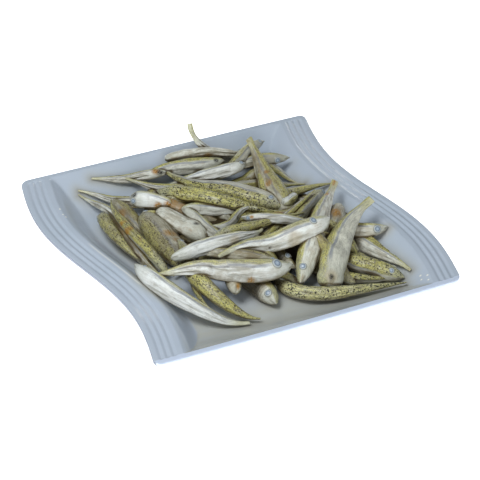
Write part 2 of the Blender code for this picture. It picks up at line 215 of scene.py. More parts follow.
# Colours of an eye: distance from its middle over its radius, and the colour there
EYE_RINGS = (
    (0.00, (0.60, 0.66, 0.72)),
    (0.16, (0.40, 0.48, 0.56)),
    (0.40, (0.30, 0.37, 0.46)),
    (0.52, (0.12, 0.14, 0.18)),
    (0.60, (0.42, 0.47, 0.50)),
    (0.76, (0.50, 0.54, 0.53)),
    (0.88, (0.26, 0.27, 0.25)),
    (0.97, (0.50, 0.49, 0.40)),
)

# Skin of each kind of fish: olive back, grey, speckles, warmth, milkiness, dullness, wrinkles
LOOKS = {
    "speckled": (0.85, 0.15, 0.90, 0.20, 0.30, 0.05, 0.8),
    "sprinkled": (0.62, 0.10, 0.98, 0.10, 0.90, 0.00, 0.9),
    "dotted": (0.55, 0.70, 0.98, 0.60, 0.00, 0.45, 0.7),
    "olive": (0.95, 0.25, 0.60, 0.45, 0.05, 0.25, 0.75),
    "cream": (0.18, 0.15, 0.00, 0.45, 0.50, 0.00, 0.85),
    "white": (0.14, 0.15, 0.00, 0.20, 0.95, 0.00, 1.25),
    "silver": (0.25, 0.65, 0.00, 0.25, 0.50, 0.05, 0.85),
    "sleek": (0.30, 0.60, 0.00, 0.25, 0.15, 0.15, 0.35),
    "grey": (0.35, 0.85, 0.20, 0.45, 0.10, 0.25, 0.8),
    "tan": (0.25, 0.30, 0.10, 1.00, 0.05, 0.30, 0.8),
    "brown": (0.20, 0.50, 0.30, 1.15, 0.00, 0.60, 0.7),
}

# The fish in the order in which they lie on each other, lowest first. Each is the middle of its length (x,
# y), the heading of its head, its length, its bend from tail to head, the extra curl of both ends, its
# depth, the turn of its back (0 is back to the left of the heading, 90 back up, 180 back to the right), the
# lift of its tail, how far it has rolled on since it was laid, its look, its head if it isn't "eyed", its
# tail if it isn't "narrow", and then any marks on it: what they are, their place from snout to tail, their
# height from belly (-1) to back (1) and their radius. A mark "eye" says where both eyes sit, and "dent" is a
# pressed-in place.
HIDDEN_FISH = (
    (76, 18, -72, 74, 15, 0, 13, 60, 0, 0, "tan"),
    (58, 34, 160, 80, -15, 0, 12, 30, 0, 0, "grey"),
    (20, 46, 30, 84, 20, 0, 12, 60, 0, 0, "brown"),
    (-8, 52, -75, 80, 10, 0, 12, 20, 0, 0, "grey"),
    (-30, -6, 20, 70, -15, 0, 12, 20, 0, 0, "tan"),
    (-42, 62, 60, 72, 0, 0, 11, 50, 0, 0, "brown"),
)
RIM_FISH = (
    (-75, -62, 125, 104, -74, 11, 15.5, 165, 0, -20, "white", ("eye", 0.12, 0.75, 1.8)),
    (38, -91, 150, 110, -84, -42, 13, 50, 0, 0, "sprinkled", "forked"),
)
BACK_FISH = (
    (40, 96, -38, 71, -2, -106, 13, 20, 24, 0, "silver", "broad"),
    (28, 94, 158, 78, 15, -10, 10, -120, 0, 0, "cream", "snub", ("blood", 0.43, 0.0, 3.0)),
    (-2, 93, -12, 73, 10, 20, 16, 20, 0, 30, "silver", "worn", ("dark", 0.12, 0.4, 2.0)),
    (66, 70, 126, 62, 38, 0, 9, 10, 0, 0, "silver"),
    (51, 50, 170, 66, 20, -20, 9, 0, 0, 0, "grey"),
    (44, 77, -10, 78, -15, 5, 12, 20, 0, 30, "grey", ("eye", 0.142, -0.46, 2.9)),
    (35, 72, 8, 89, 90, -60, 10, 40, 0, 0, "grey"),
    (50, 43, -92, 78, 2, 3, 18, 50, 10, 0, "tan", "worn", "broad", ("blood", 0.4, 0.2, 3.0),
     ("blood", 0.55, 0.6, 2.0)),
    (10, 70, -10, 69, 40, 20, 11, -20, 0, 50, "white"),
)
LEFT_FISH = (
    (-58, 38, 90, 80, 0, 5, 10, 50, 0, 0, "tan", ("blood", 0.5, 0.0, 7.0)),
    (-76, 26, 94, 74, -20, 8, 16, 126, 0, 0, "brown", "worn", ("blood", 0.4, 0.0, 4.0)),
    (-84, 36, 92, 66, -32, 5, 13, 70, 0, 0, "dotted"),
    (-52, 4, 91, 95, 6, 6, 18, 50, 0, -52, "dotted", "worn", ("blood", 0.41, -0.3, 5.0),
     ("blood", 0.52, -0.5, 3.5)),
    (-54, -36, 82, 84, -5, 22, 9, 40, 0, 0, "grey"),
    (-76, 65, -78, 75, -12, 14, 9, -10, 0, 50, "cream"),
    (-55, 76, -37, 82, 27, 23, 10, 10, 0, 35, "cream"),
)
RIGHT_FISH = (
    (59, -75, 146, 78, -50, 5, 9, 90, 0, 0, "speckled"),
    (69, -64, -57, 76, 32, -8, 15, 80, 0, 0, "speckled", ("eye", 0.13, 0.75, 2.4)),
    (88, -48, 104, 92, 0, -11, 15, 160, 0, -15, "cream", "worn", ("dark", 0.08, -0.7, 3.8),
     ("warm", 0.14, 0.0, 4.0)),
    (89, -31, 102, 70, -5, 0, 8, 90, 0, 0, "olive"),
    (76, -28, -42, 72, 66, 11, 14, 20, 0, 30, "cream", ("eye", 0.135, -0.04, 3.4)),
    (61, -34, 48, 76, -5, 0, 15, 20, 0, 0, "tan", "worn", ("blood", 0.28, 0.1, 4.5),
     ("blood", 0.45, -0.2, 3.0)),
    (39, 0, 1, 82, 38, 18, 14, 30, 0, 0, "brown", ("blood", 0.55, 0.2, 4.5)),
    (52, -6, 31, 87, 20, -15, 12, 60, 0, 0, "grey", ("dark", 0.1, 0.3, 2.2)),
    (36, -9, -158, 76, -10, 0, 8, 30, 5, 0, "tan"),
)
FRONT_FISH = (
    (-50, -65, 116, 74, -64, 11, 15, 50, 0, 0, "olive"),
    (-15, -45, -74, 76, -22, -12, 19, 20, 0, 25, "cream", ("eye", 0.11, 0.22, 3.1)),
    (-23, -31, -107, 74, 3, 0, 15, -30, 0, 0, "cream", "worn", ("blood", 0.05, 0.0, 2.5),
     ("warm", 0.1, 0.0, 5.0)),
    (-22, -40, -32, 68, 10, 0, 11, 30, 0, 0, "brown"),
    (10, -18, -76, 80, 25, 10, 13, 20, 0, 25, "grey", ("eye", 0.142, 0.80, 2.4)),
)
MIDDLE_FISH = (
    (-43, 100, -19, 59, 5, -1, 10, 10, 0, 35, "cream", "worn", ("dark", 0.09, 0.1, 2.6),
     ("blood", 0.14, 0.4, 3.0)),
    (-20, 75, -34, 74, 35, 0, 9, 60, 0, 0, "cream"),
    (-34, 34, 130, 61, 70, 46, 10, 40, 0, 0, "tan"),
    (-38, 34, -69, 81, -20, 1, 18, -20, 0, 0, "cream", "worn", "stub", ("dark", 0.1, 0.3, 3.0),
     ("dark", 0.16, -0.2, 2.0)),
    (-27, 41, 133, 80, 28, -8, 16, 180, 0, -40, "white", "short", ("dark", 0.05, 0.3, 2.6),
     ("blood", 0.4, -0.2, 4.0), ("blood", 0.3, -0.7, 3.0), ("eye", 0.055, -0.55, 2.6)),
    (-4, 25, 156, 53, 3, 15, 12, 190, 0, -50, "silver", "worn"),
    (-22, -2, 97, 76, 5, 11, 10, 150, 0, 0, "silver", "worn"),
    (-1, 29, 137, 105, -45, 2, 15, 50, 0, 0, "speckled"),
    (12, 49, -54, 102, 18, -28, 15, 140, 0, 45, "speckled", ("eye", 0.098, 0.08, 2.5)),
    (-75, 28, -88, 95, 33, -17, 9, 90, 0, 0, "olive", "snub", ("blood", 0.5, 0.35, 3.2),
     ("blood", 0.6, 0.6, 2.0)),
)
TOP_FISH = (
    (12, -12, 185, 81, 11, 1, 10, 60, 0, 0, "grey"),
    (34, -17, 150, 70, -11, -9, 10, 180, 0, -45, "white", ("blood", 0.13, 0.0, 1.4),
     ("eye", 0.09, -0.26, 1.9)),
    (1, 5, -171, 49, 4, -92, 9, 180, 0, -45, "silver", "worn"),
    (-25, -27, 183, 80, -41, 26, 12, 150, 0, 0, "white", "worn", ("warm", 0.6, -0.5, 4.0)),
    (-36, -53, -13, 105, 15, 27, 22, 15, 0, 40, "white", ("blood", 0.33, -0.9, 2.6),
     ("dark", 0.0, 0.0, 1.6), ("dent", 0.55, 0.1, 6.0), ("eye", 0.152, 0.52, 4.2)),
    (53, -31, -132, 110, 2, 0, 17, 160, 14, 0, "cream", "broad", ("blood", 0.97, 0.2, 3.5),
     ("blood", 0.8, 0.6, 2.5), ("warm", 0.03, 0.0, 3.0), ("eye", 0.108, 0.39, 3.0)),
    (61, -50, -140, 88, 50, -10, 21, 165, 16, 0, "sleek", "snub", "broad", ("dark", 0.035, 0.1, 2.4),
     ("warm", 0.04, 0.1, 5.5), ("dent", 0.42, 0.0, 7.0)),
    (12, -41, 4, 98, 11, 33, 20, 15, 0, 35, "white", ("warm", 0.38, -0.4, 5.0), ("dark", 0.04, 0.5, 1.3),
     ("dark", 0.57, -0.6, 1.2), ("eye", 0.202, 0.58, 3.3)),
    (53, 13, 208, 17, 0, 0, 8.5, 0, 0, 0, "white", "worn", "blunt"),
)

# Plain fish that only close the gaps, tucked under the others
TUCKED_FISH = (
    (-24, 14, 118, 74, 20, 0, 14, 30, 0, 0, "tan"),
    (-8, -8, 150, 78, -15, 0, 14, 60, 0, 0, "brown"),
    (18, 12, 20, 76, 10, 0, 13, 120, 0, 0, "grey"),
    (34, 24, 140, 74, 20, 0, 13, 50, 0, 0, "brown"),
    (22, -34, 165, 76, 0, 0, 14, 40, 0, 0, "tan"),
    (0, 44, 160, 80, 10, 0, 12, 30, 0, 0, "grey"),
    (44, -48, -70, 74, 10, 0, 13, 120, 0, 0, "brown"),
    (-44, 14, 80, 78, 0, 0, 13, 60, 0, 0, "tan"),
    (-30, -22, 110, 74, -20, 0, 13, 40, 0, 0, "brown"),
    (60, 4, -60, 76, 10, 0, 13, 54, 0, 0, "tan"),
    (44, 34, 70, 72, 0, 0, 12, 54, 0, 0, "tan"),
    (2, -40, -60, 70, 20, 0, 12, 90, 0, 0, "tan"),
    (30, -8, 95, 74, 0, 0, 12, 60, 0, 0, "brown"),
    (-20, 58, -20, 78, 0, 0, 11, 30, 0, 0, "tan"),
    (72, -46, 120, 74, 0, 0, 12, 60, 0, 0, "grey"),
    (24, 62, 10, 76, 0, 0, 11, 50, 0, 0, "tan"),
    (-61, 53, 95, 62, 0, 0, 14, 126, 0, 0, "brown", "worn", ("blood", 0.35, 0.0, 4.0)),
    (-21, 37, 133, 64, 10, 0, 13, 150, 0, 0, "brown", "worn", ("blood", 0.25, 0.3, 7.0),
     ("blood", 0.45, 0.0, 6.0)),
)
LAYERS = (
    ("hidden_fish", HIDDEN_FISH),
    ("rim_fish", RIM_FISH),
    ("back_fish", BACK_FISH),
    ("left_fish", LEFT_FISH),
    ("right_fish", RIGHT_FISH),
    ("front_fish", FRONT_FISH),
    ("middle_fish", MIDDLE_FISH),
    ("top_fish", TOP_FISH),
)

# Floor, and the lights by name: place, size and colour
FLOOR_HALF = 3000.0
SKY_COLOUR = (0.86, 0.94, 1.0, 1.0)
LIGHTS = {
    "overhead": ((-650.0, -150.0, 1300.0), 650.0, (0.96, 0.99, 1.0)),
    "window": ((-500.0, -1500.0, 500.0), 900.0, (0.97, 0.99, 1.0)),
    "lamp": ((950.0, 1150.0, 640.0), 90.0, (1.0, 0.97, 0.90)),
}

# Camera, at the photograph's place
AZIMUTH = -28.9
ELEVATION = 35.9
ROLL = 3.3
LENS = 156.0
DISTANCE = 1597.0
AIM = (11.1, 14.2, 0.0)


def smoothstep(t):
    """Runs from 0 to 1 with level ends."""
    t = np.clip(t, 0.0, 1.0)
    return t * t * (3.0 - 2.0 * t)


def side_wave(y):
    """How far both side edges stand to the right at this place from front to back."""
    return -WAVE * np.sin(2.0 * pi * y / PLATE_DEPTH)


def edge_drop(inset):
    """How far the rounded edge falls below the flat at this distance in."""
    return EDGE_ROUNDING * (1.0 - np.sqrt(1.0 - np.clip(1.0 - inset / EDGE_ROUND_WIDTH, 0.0, 1.0) ** 2))


def side_height(inset):
    """Height of the glaze at this distance in from a side edge, without the ridges."""
    t = np.clip((inset - RIM_WIDTH) / RIM_SLOPE, 0.0, 1.0)
    return PLATE_HEIGHT - (PLATE_HEIGHT - WELL_FLOOR) * (smoothstep(t) + BREAK * t * (1.0 - t) ** 3)


def end_height(inset):
    """Height of the glaze at this distance in from the front or back edge."""
    fall = (1.0 - np.clip((inset - LIP_WIDTH) / WALL_WIDTH, 0.0, 1.0)) ** WALL_CURVE
    return WELL_FLOOR + (PLATE_HEIGHT - WELL_FLOOR) * fall


def side_underside(inset):
    """Height of the underside at this distance in from a side edge."""
    rim = RIM_EDGE_THICKNESS + (RIM_THICKNESS - RIM_EDGE_THICKNESS) * np.clip(inset / RIM_WIDTH, 0.0, 1.0)
    tuck = RIM_SLOPE + RIM_THICKNESS
    return (PLATE_HEIGHT - rim) * (1.0 - smoothstep((inset - RIM_WIDTH + RIM_THICKNESS) / tuck))


def end_underside(inset):
    """Height of the underside at this distance in from the front or back edge."""
    run = LIP_WIDTH + WALL_WIDTH - UNDERSIDE_TUCK
    return (PLATE_HEIGHT - LIP_FACE) * (1.0 - np.clip(inset / run, 0.0, 1.0)) ** UNDERSIDE_CURVE


def soft_max(a, b, softness):
    """The larger of two heights, with the crease between them rounded."""
    near = np.clip(softness - np.abs(a - b), 0.0, None) / softness
    return np.maximum(a, b) + near * near * softness / 4.0


def plate_plan(side, end, column_sign, row_sign):
    """Plan positions of points at these distances in from a side edge and an end edge."""
    a = np.clip(CORNER_RADIUS - side, 0.0, None)
    b = np.clip(CORNER_RADIUS - end, 0.0, None)
    corner = (a > 0.0) & (b > 0.0)
    shrink = np.where(corner, np.maximum(a, b) / np.maximum(np.hypot(a, b), 1e-9), 1.0)
    side = np.where(corner, CORNER_RADIUS - a * shrink, side)
    end = np.where(corner, CORNER_RADIUS - b * shrink, end)
    u = column_sign * (PLATE_WIDTH / 2.0 - side)
    y = row_sign * (PLATE_DEPTH / 2.0 - end)
    bow = FRONT_BOW * (1.0 - (2.0 * u / PLATE_WIDTH) ** 2) * (2.0 * y / PLATE_DEPTH) ** 2
    return u + side_wave(y), y - np.where(row_sign < 0, bow, 0.0) + SHIFT


def plate_lines(edge_lines, half, spacing):
    """Insets and signs of the grid lines across the plate, evenly spaced between the edge lines."""
    reach = half - edge_lines[-1]
    count = int(round(2.0 * reach / spacing))
    middle = np.linspace(-reach, reach, count + 1)[1:-1]
    inset = np.concatenate((edge_lines, half - np.abs(middle), edge_lines[::-1]))
    ends = np.ones(len(edge_lines))
    return inset, np.concatenate((-ends, np.where(middle < 0, -1.0, 1.0), ends))


def grid_faces(rows, columns, offset=0, flip=False):
    """Quads of a grid of vertices laid out row by row."""
    j, i = np.meshgrid(np.arange(rows - 1), np.arange(columns - 1), indexing="ij")
    a = offset + j * columns + i
    quads = np.stack((a, a + 1, a + columns + 1, a + columns), axis=-1).reshape(-1, 4)
    return quads[:, ::-1] if flip else quads


def mesh_from(name, points, faces, smooth=True):
    """A mesh from points in millimetres and faces of any size."""
    mesh = bpy.data.meshes.new(name)
    mesh.from_pydata((np.asarray(points) * MM).tolist(), [], [tuple(int(v) for v in f) for f in faces])
    mesh.update()
    if smooth:
        mesh.shade_smooth()
    return mesh


def store(mesh, name, values):
    """Stores one number or three on every point of a mesh."""
    values = np.asarray(values, dtype=np.float32)
    kind, key = ("FLOAT", "value") if values.ndim == 1 else ("FLOAT_VECTOR", "vector")
    mesh.attributes.new(name, kind, "POINT").data.foreach_set(key, values.ravel())


def show(name, data):
    """Links an object with this mesh, light or camera into the scene."""
    obj = bpy.data.objects.new(name, data)
    bpy.context.scene.collection.objects.link(obj)
    return obj


def grow(obj, tree, values):
    """Runs a Geometry Nodes tree on the object with these inputs and keeps the result as its plain mesh."""
    modifier = obj.modifiers.new(tree.name, "NODES")
    modifier.node_group = tree
    for item in tree.interface.items_tree:
        if item.in_out == "INPUT" and item.name in values:
            modifier[item.identifier] = values[item.name]
    bpy.context.view_layer.update()
    evaluated = obj.evaluated_get(bpy.context.evaluated_depsgraph_get())
    mesh = bpy.data.meshes.new_from_object(evaluated)
    obj.modifiers.clear()
    obj.data = mesh
    mesh.name = obj.name


def place_on_root(obj, slot, *nodes):
    """The piece rides on the plate's one body and stands for these nodes."""
    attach(obj, "root")
    if nodes:
        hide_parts(*nodes)


class NodeTree:
    """Short calls that add nodes to a tree and link or set their inputs."""

    def __init__(self, tree):
        self.tree = tree

    def add(self, kind, inputs=None, **settings):
        """A node with these settings; inputs are given by name or index as sockets or constants."""
        made = self.tree.nodes.new(kind)
        for key, value in settings.items():
            setattr(made, key, value)
        for key, value in (inputs or {}).items():
            self.put(made.inputs[key], value)
        return made

    def put(self, socket, value):
        """Links a socket, or sets a constant."""
        if isinstance(value, bpy.types.NodeSocket):
            self.tree.links.new(value, socket)
        else:
            socket.default_value = value

    def math(self, operation, *values):
        """The result of a Math node."""
        return self.add("ShaderNodeMath", dict(enumerate(values)), operation=operation).outputs[0]

    def times(self, a, b):
        """Both values multiplied."""
        return self.math("MULTIPLY", a, b)

    def minus(self, a, b):
        """The first value less the second."""
        return self.math("SUBTRACT", a, b)

    def sloped(self, value, slope, start):
        """Slope times the value, plus the start."""
        return self.math("MULTIPLY_ADD", value, slope, start)

    def varied(self, start, grain, spread):
        """The start, varied by a noise value that lies round a half."""
        return self.sloped(self.minus(grain, 0.5), spread, start)

    def step(self, value, low, high, start=0.0, stop=1.0):
        """Value taken smoothly from low..high to start..stop."""
        made = self.add("ShaderNodeMapRange", {0: value, 1: low, 2: high, 3: start, 4: stop})
        made.interpolation_type = "SMOOTHSTEP"
        return made.outputs[0]

    def scaled(self, vector, scale):
        """A vector times a vector of factors."""
        return self.add("ShaderNodeVectorMath", {0: vector, 1: scale}, operation="MULTIPLY").outputs[0]

    def split(self, vector):
        """The three parts of a vector."""
        return self.add("ShaderNodeSeparateXYZ", {0: vector}).outputs

    def mix(self, factor, a, b, blend="MIX"):
        """Colour a with b laid over it."""
        made = self.add("ShaderNodeMix", {0: factor, 6: a, 7: b}, data_type="RGBA", blend_type=blend)
        return made.outputs[2]

    def tint(self, factor, colour, value):
        """Colour with a plain one laid over it."""
        return self.mix(factor, colour, (*value, 1.0))

    def stored(self, name, output="Fac"):
        """What is stored on the surface under this name."""
        return self.add("ShaderNodeAttribute", attribute_name=name).outputs[output]

    def given(self, name, kind):
        """What a Geometry Nodes tree finds stored on its points under this name."""
        return self.add("GeometryNodeInputNamedAttribute", {"Name": name}, data_type=kind).outputs[0]

    def noise(self, vector, scale, detail=3.0, roughness=0.55):
        """Value of a noise texture."""
        inputs = {"Vector": vector, "Scale": scale, "Detail": detail, "Roughness": roughness}
        return self.add("ShaderNodeTexNoise", inputs).outputs[0]

    def cells(self, vector, scale, **settings):
        """Outputs of a cell texture."""
        inputs = {"Vector": self.scaled(vector, scale), "Scale": 1.0}
        return self.add("ShaderNodeTexVoronoi", inputs, **settings).outputs

    def bump(self, shader, height, strength, distance):
        """Gives the shader a fine relief."""
        made = self.add("ShaderNodeBump", {"Height": height, "Strength": strength, "Distance": distance})
        self.put(shader.inputs["Normal"], made.outputs[0])

    def finish(self, geometry, material):
        """Ends a Geometry Nodes tree: its instances made real, smooth and given their material."""
        real = self.add("GeometryNodeRealizeInstances", {"Geometry": geometry}).outputs[0]
        smooth = self.add("GeometryNodeSetShadeSmooth", {"Geometry": real}).outputs[0]
        painted = self.add("GeometryNodeSetMaterial", {"Geometry": smooth, "Material": material}).outputs[0]
        self.add("NodeGroupOutput", {"Geometry": painted})


def new_material(name):
    """A material, its node calls and its Principled shader."""
    mat = bpy.data.materials.new(name)
    mat.use_nodes = True
    return mat, NodeTree(mat.node_tree), mat.node_tree.nodes["Principled BSDF"]


def new_tree(name, inputs):
    """A Geometry Nodes tree with these inputs besides its geometry, its node calls and its input sockets."""
    tree = bpy.data.node_groups.new(name, "GeometryNodeTree")
    sockets = tree.interface
    sockets.new_socket("Geometry", in_out="INPUT", socket_type="NodeSocketGeometry")
    for label, kind in inputs.items():
        sockets.new_socket(label, in_out="INPUT", socket_type="NodeSocket" + kind)
    sockets.new_socket("Geometry", in_out="OUTPUT", socket_type="NodeSocketGeometry")
    nodes = NodeTree(tree)
    return tree, nodes, nodes.add("NodeGroupInput").outputs


def rim_glints(nodes, place):
    """The long gleam on the left rim and the small glints on both side rims."""
    flat = nodes.scaled(place, (1.0, 1.0, 0.0))
    bright = nodes.times(nodes.stored("gleam"), GLEAM_STRENGTH)
    for x, y, radius in GLINTS:
        spot = {0: flat, 1: (x * MM, y * MM, 0.0)}
        apart = nodes.add("ShaderNodeVectorMath", spot, operation="DISTANCE").outputs["Value"]
        bright = nodes.math("MAXIMUM", bright, nodes.step(apart, 1.3 * radius * MM, 0.5 * radius * MM))
    return bright


def porcelain_material(settings):
    """White glaze, faintly uneven, warmer grey on the front wall and with painted shade round the fish."""
    mat, nodes, shader = new_material("porcelain")
    place = nodes.add("ShaderNodeTexCoord").outputs["Object"]
    _, deep, height = nodes.split(place)
    smear = nodes.noise(nodes.scaled(place, (1.0, 2.4, 1.0)), 45.0, 5.0, 0.65)
    cloud = nodes.step(nodes.noise(place, 26.0, 2.0), 0.35, 0.75)
    colour = nodes.tint(cloud, (*settings.glaze_colour, 1.0), settings.glaze_shade)
    # Warmer grey glaze over the front wall, and painted shade in the same colour round the fish
    front = nodes.times(nodes.step(deep, -0.035, -0.085), nodes.stored("wall"))
    near = nodes.stored("film")
    front_tint_and_fish_shade = nodes.math("MAXIMUM", front, nodes.times(nodes.math("POWER", near, 1.5), 0.8))
    front_tint_and_fish_shade = nodes.times(front_tint_and_fish_shade, nodes.step(smear, 0.30, 0.70, 0.75, 1.0))
    colour = nodes.tint(nodes.times(front_tint_and_fish_shade, 0.92), colour, settings.front_tint_and_shade_colour)
    # Painted shade: a darker brown right against the fish
    shade_by_fish = nodes.times(nodes.math("POWER", near, 4.0), 0.8)
    colour = nodes.tint(shade_by_fish, colour, settings.fish_shade_colour)
    # Painted light on the front lip
    colour = nodes.tint(nodes.stored("lip"), colour, settings.lip_light_colour)
    # Painted shade on the side rims' outer edges and the underside
    colour = nodes.tint(nodes.stored("outer"), colour, settings.edge_shade_colour)
    colour = nodes.tint(rim_glints(nodes, place), colour, GLEAM_COLOUR)
    nodes.put(shader.inputs["Base Color"], colour)
    well = nodes.step(height, 0.021, 0.008)
    nodes.put(shader.inputs["Roughness"], nodes.sloped(nodes.times(well, smear), 0.20, 0.10))
    shader.inputs["IOR"].default_value = 1.5
    nodes.bump(shader, nodes.noise(place, 60.0, 1.0), 0.05, 0.002)
    return mat


def ridge_tree():
    """Geometry Nodes that press parallel grooves into the rims, between which the ridges stand."""
    inputs = {"Start": "Float", "Pitch": "Float", "Count": "Float", "Depth": "Float", "Glaze": "Material"}
    tree, nodes, given = new_tree("rim_ridges", inputs)
    place = nodes.minus(nodes.given("inset", "FLOAT"), given["Start"])
    place = nodes.math("DIVIDE", place, given["Pitch"])
    begun = nodes.math("GREATER_THAN", place, 0.0)
    within = nodes.times(begun, nodes.math("LESS_THAN", place, given["Count"]))
    wave = nodes.math("COSINE", nodes.times(place, 2.0 * pi))
    groove = nodes.times(nodes.times(nodes.minus(1.0, wave), 0.5), given["Depth"])
    groove = nodes.math("MINIMUM", nodes.times(groove, within), nodes.given("room", "FLOAT"))
    offset = nodes.add("ShaderNodeCombineXYZ", {"Z": nodes.times(groove, -1.0)}).outputs[0]
    grooved = nodes.add("GeometryNodeSetPosition", {"Geometry": given["Geometry"], "Offset": offset})
    nodes.finish(grooved.outputs[0], given["Glaze"])
    return tree


def underside(side, end, x, y):
    """Height of the underside, with its rounded edge and the shallow recess inside the foot ring."""
    low = np.maximum(side_underside(side), end_underside(end)) + np.maximum(edge_drop(side), edge_drop(end))
    across = np.abs(x) - FOOT_RECESS[0] / 2.0 + FOOT_RECESS_RADIUS
    deep = np.abs(y - SHIFT) - FOOT_RECESS[1] / 2.0 + FOOT_RECESS_RADIUS
    outside = np.hypot(np.clip(across, 0.0, None), np.clip(deep, 0.0, None)) - FOOT_RECESS_RADIUS
    return np.where(low < 0.01, FOOT_RECESS_DEPTH * smoothstep(-outside / FOOT_RECESS_BLEND), low)


def store_on_plate(mesh, name, top, low=None):
    """Stores a value on the points of the plate's top and of its underside."""
    low = np.zeros(top.shape) if low is None else low
    store(mesh, name, np.concatenate((top.ravel(), low.ravel())))


def plate_mesh():
    """The plate's top and underside as two fine grids, joined round the edge."""
    side_lines = np.concatenate((EDGE_LINES, np.arange(2.0, 24.0, 0.7), np.arange(24.0, 46.1, 1.3)))
    end_lines = np.concatenate((EDGE_LINES, np.arange(1.8, 6.0, 0.7), np.arange(6.5, 43.0, 1.6)))
    columns, column_sign = plate_lines(side_lines, PLATE_WIDTH / 2.0, 2.6)
    rows, row_sign = plate_lines(end_lines, PLATE_DEPTH / 2.0, 2.4)
    side, end = np.meshgrid(columns, rows)
    x, y = plate_plan(side, end, column_sign[None, :], row_sign[:, None])
    flat_side, flat_end = side_height(side), end_height(end)
    top = np.minimum(soft_max(flat_side, flat_end, CREASE_SOFTNESS), PLATE_HEIGHT)
    top -= np.maximum(edge_drop(side), edge_drop(end))
    low = underside(side, end, x, y)
    points = [np.stack((x, y, z), -1).reshape(-1, 3) for z in (top, low)]
    faces = list(grid_faces(*side.shape)) + list(grid_faces(*side.shape, offset=side.size, flip=True))
    index = np.arange(side.size).reshape(side.shape)
    loop = np.concatenate((index[0, :-1], index[:-1, -1], index[-1, :0:-1], index[:0:-1, 0]))
    after = np.roll(loop, -1)
    faces += list(np.stack((loop + side.size, after + side.size, after, loop), -1))
    mesh = mesh_from("plate_glaze", np.concatenate(points), faces)
    front = row_sign[:, None] < 0
    lip_face = np.where(front & (end < 1.0) & (side > 1.0), 1.0, 0.0)
    ends = smoothstep((y - GLEAM_RANGE[0]) / GLEAM_FADE) * smoothstep((GLEAM_RANGE[1] - y) / GLEAM_FADE)
    gleam = np.exp(-((side - GLEAM_INSET) / GLEAM_WIDTH) ** 2) * ends
    store_on_plate(mesh, "inset", side * MM)
    store_on_plate(mesh, "room", np.clip(flat_side - flat_end, 0.0, None) * MM)
    # Painted light: where the front lip is tinted paler, on its top and its face
    store_on_plate(mesh, "lip", np.where(front, smoothstep((LIP_WIDTH + 0.9 - end) / 0.8), 0.0), lip_face)
    store_on_plate(mesh, "gleam", np.where(column_sign[None, :] < 0, gleam, 0.0))
    # Painted shade: where the side rims' outer edges and the underside are tinted darker
    store_on_plate(mesh, "outer", np.where((side < 0.35) & (end > 1.0), 1.0, 0.0), 1.0 - lip_face)
    store_on_plate(mesh, "wall", smoothstep((flat_end - flat_side) / 0.6 + 1.0))
    return mesh


def glaze_field(grid_x, grid_y):
    """Height of the plate over a plan grid, raised by the gap."""
    side = PLATE_WIDTH / 2.0 - np.abs(grid_x - side_wave(grid_y))
    end = PLATE_DEPTH / 2.0 - np.abs(grid_y)
    side_lines, end_lines = np.array(GLAZE_LINES), np.array(LIP_LINES)
    sides = side_height(side_lines) - np.where(side_lines == 0.0, EDGE_ROUNDING, 0.0)
    ends = end_height(end_lines) - np.where(end_lines == 0.0, EDGE_ROUNDING, 0.0)
    highest = np.maximum(np.interp(side, side_lines, sides), np.interp(end, end_lines, ends))
    return np.where((side < 0.0) | (end < 0.0), 0.0, highest) + HEAP_GAP


def mound_height(x, y):
    """Height of the mound under the fish at this place."""
    out = ((x - MOUND_CENTRE[0]) / MOUND_RADII[0]) ** 2 + ((y - MOUND_CENTRE[1]) / MOUND_RADII[1]) ** 2
    return WELL_FLOOR + MOUND_HEIGHT * (1.0 - out)


def fish_spine(x, y, heading, length, bend, curl):
    """Plan points of a fish's middle line, from snout to tail tip."""
    u = np.linspace(-0.5, 0.5, SPINE_STEPS)
    angle = np.radians(heading - bend * u + curl * (4.0 * u * u - 1.0 / 3.0))
    stride = -length / (SPINE_STEPS - 1)
    t = np.linspace(-0.5, 0.5, SPINE_POINTS)
    line = []
    for start, move in ((x, np.cos(angle) * stride), (y, np.sin(angle) * stride)):
        run = np.concatenate(([0.0], np.cumsum(0.5 * (move[1:] + move[:-1]))))
        line.append(np.interp(t, u, run + (start - run[SPINE_STEPS // 2])))
    return line


def laid_outline(place, depth, turn):
    """Half width and half height of a fish that lies turned like this, at these places along it."""
    outline = np.array(PLAIN_OUTLINE)
    half_depth = np.interp(place, outline[:, 0], outline[:, 1]) * depth / 2.0
    half_thickness = np.interp(place, outline[:, 0], outline[:, 2]) * depth / 2.0 * FLATNESS
    c, s = cos(radians(turn)), sin(radians(turn))
    return np.hypot(half_depth * c, half_thickness * s), np.hypot(half_depth * s, half_thickness * c)


def evened(values, times):
    """Values along a line, each averaged with its neighbours this many times."""
    for _ in range(times):
        padded = np.concatenate((values[:1], values, values[-1:]))
        values = 0.25 * padded[:-2] + 0.5 * padded[1:-1] + 0.25 * padded[2:]
    return values


def cell(x, y):
    """Row and column of the height field's cells at these places."""
    last = int(round(2.0 * FIELD / CELL))
    return tuple(np.clip(np.rint((v + FIELD) / CELL).astype(int), 0, last) for v in (x, y))


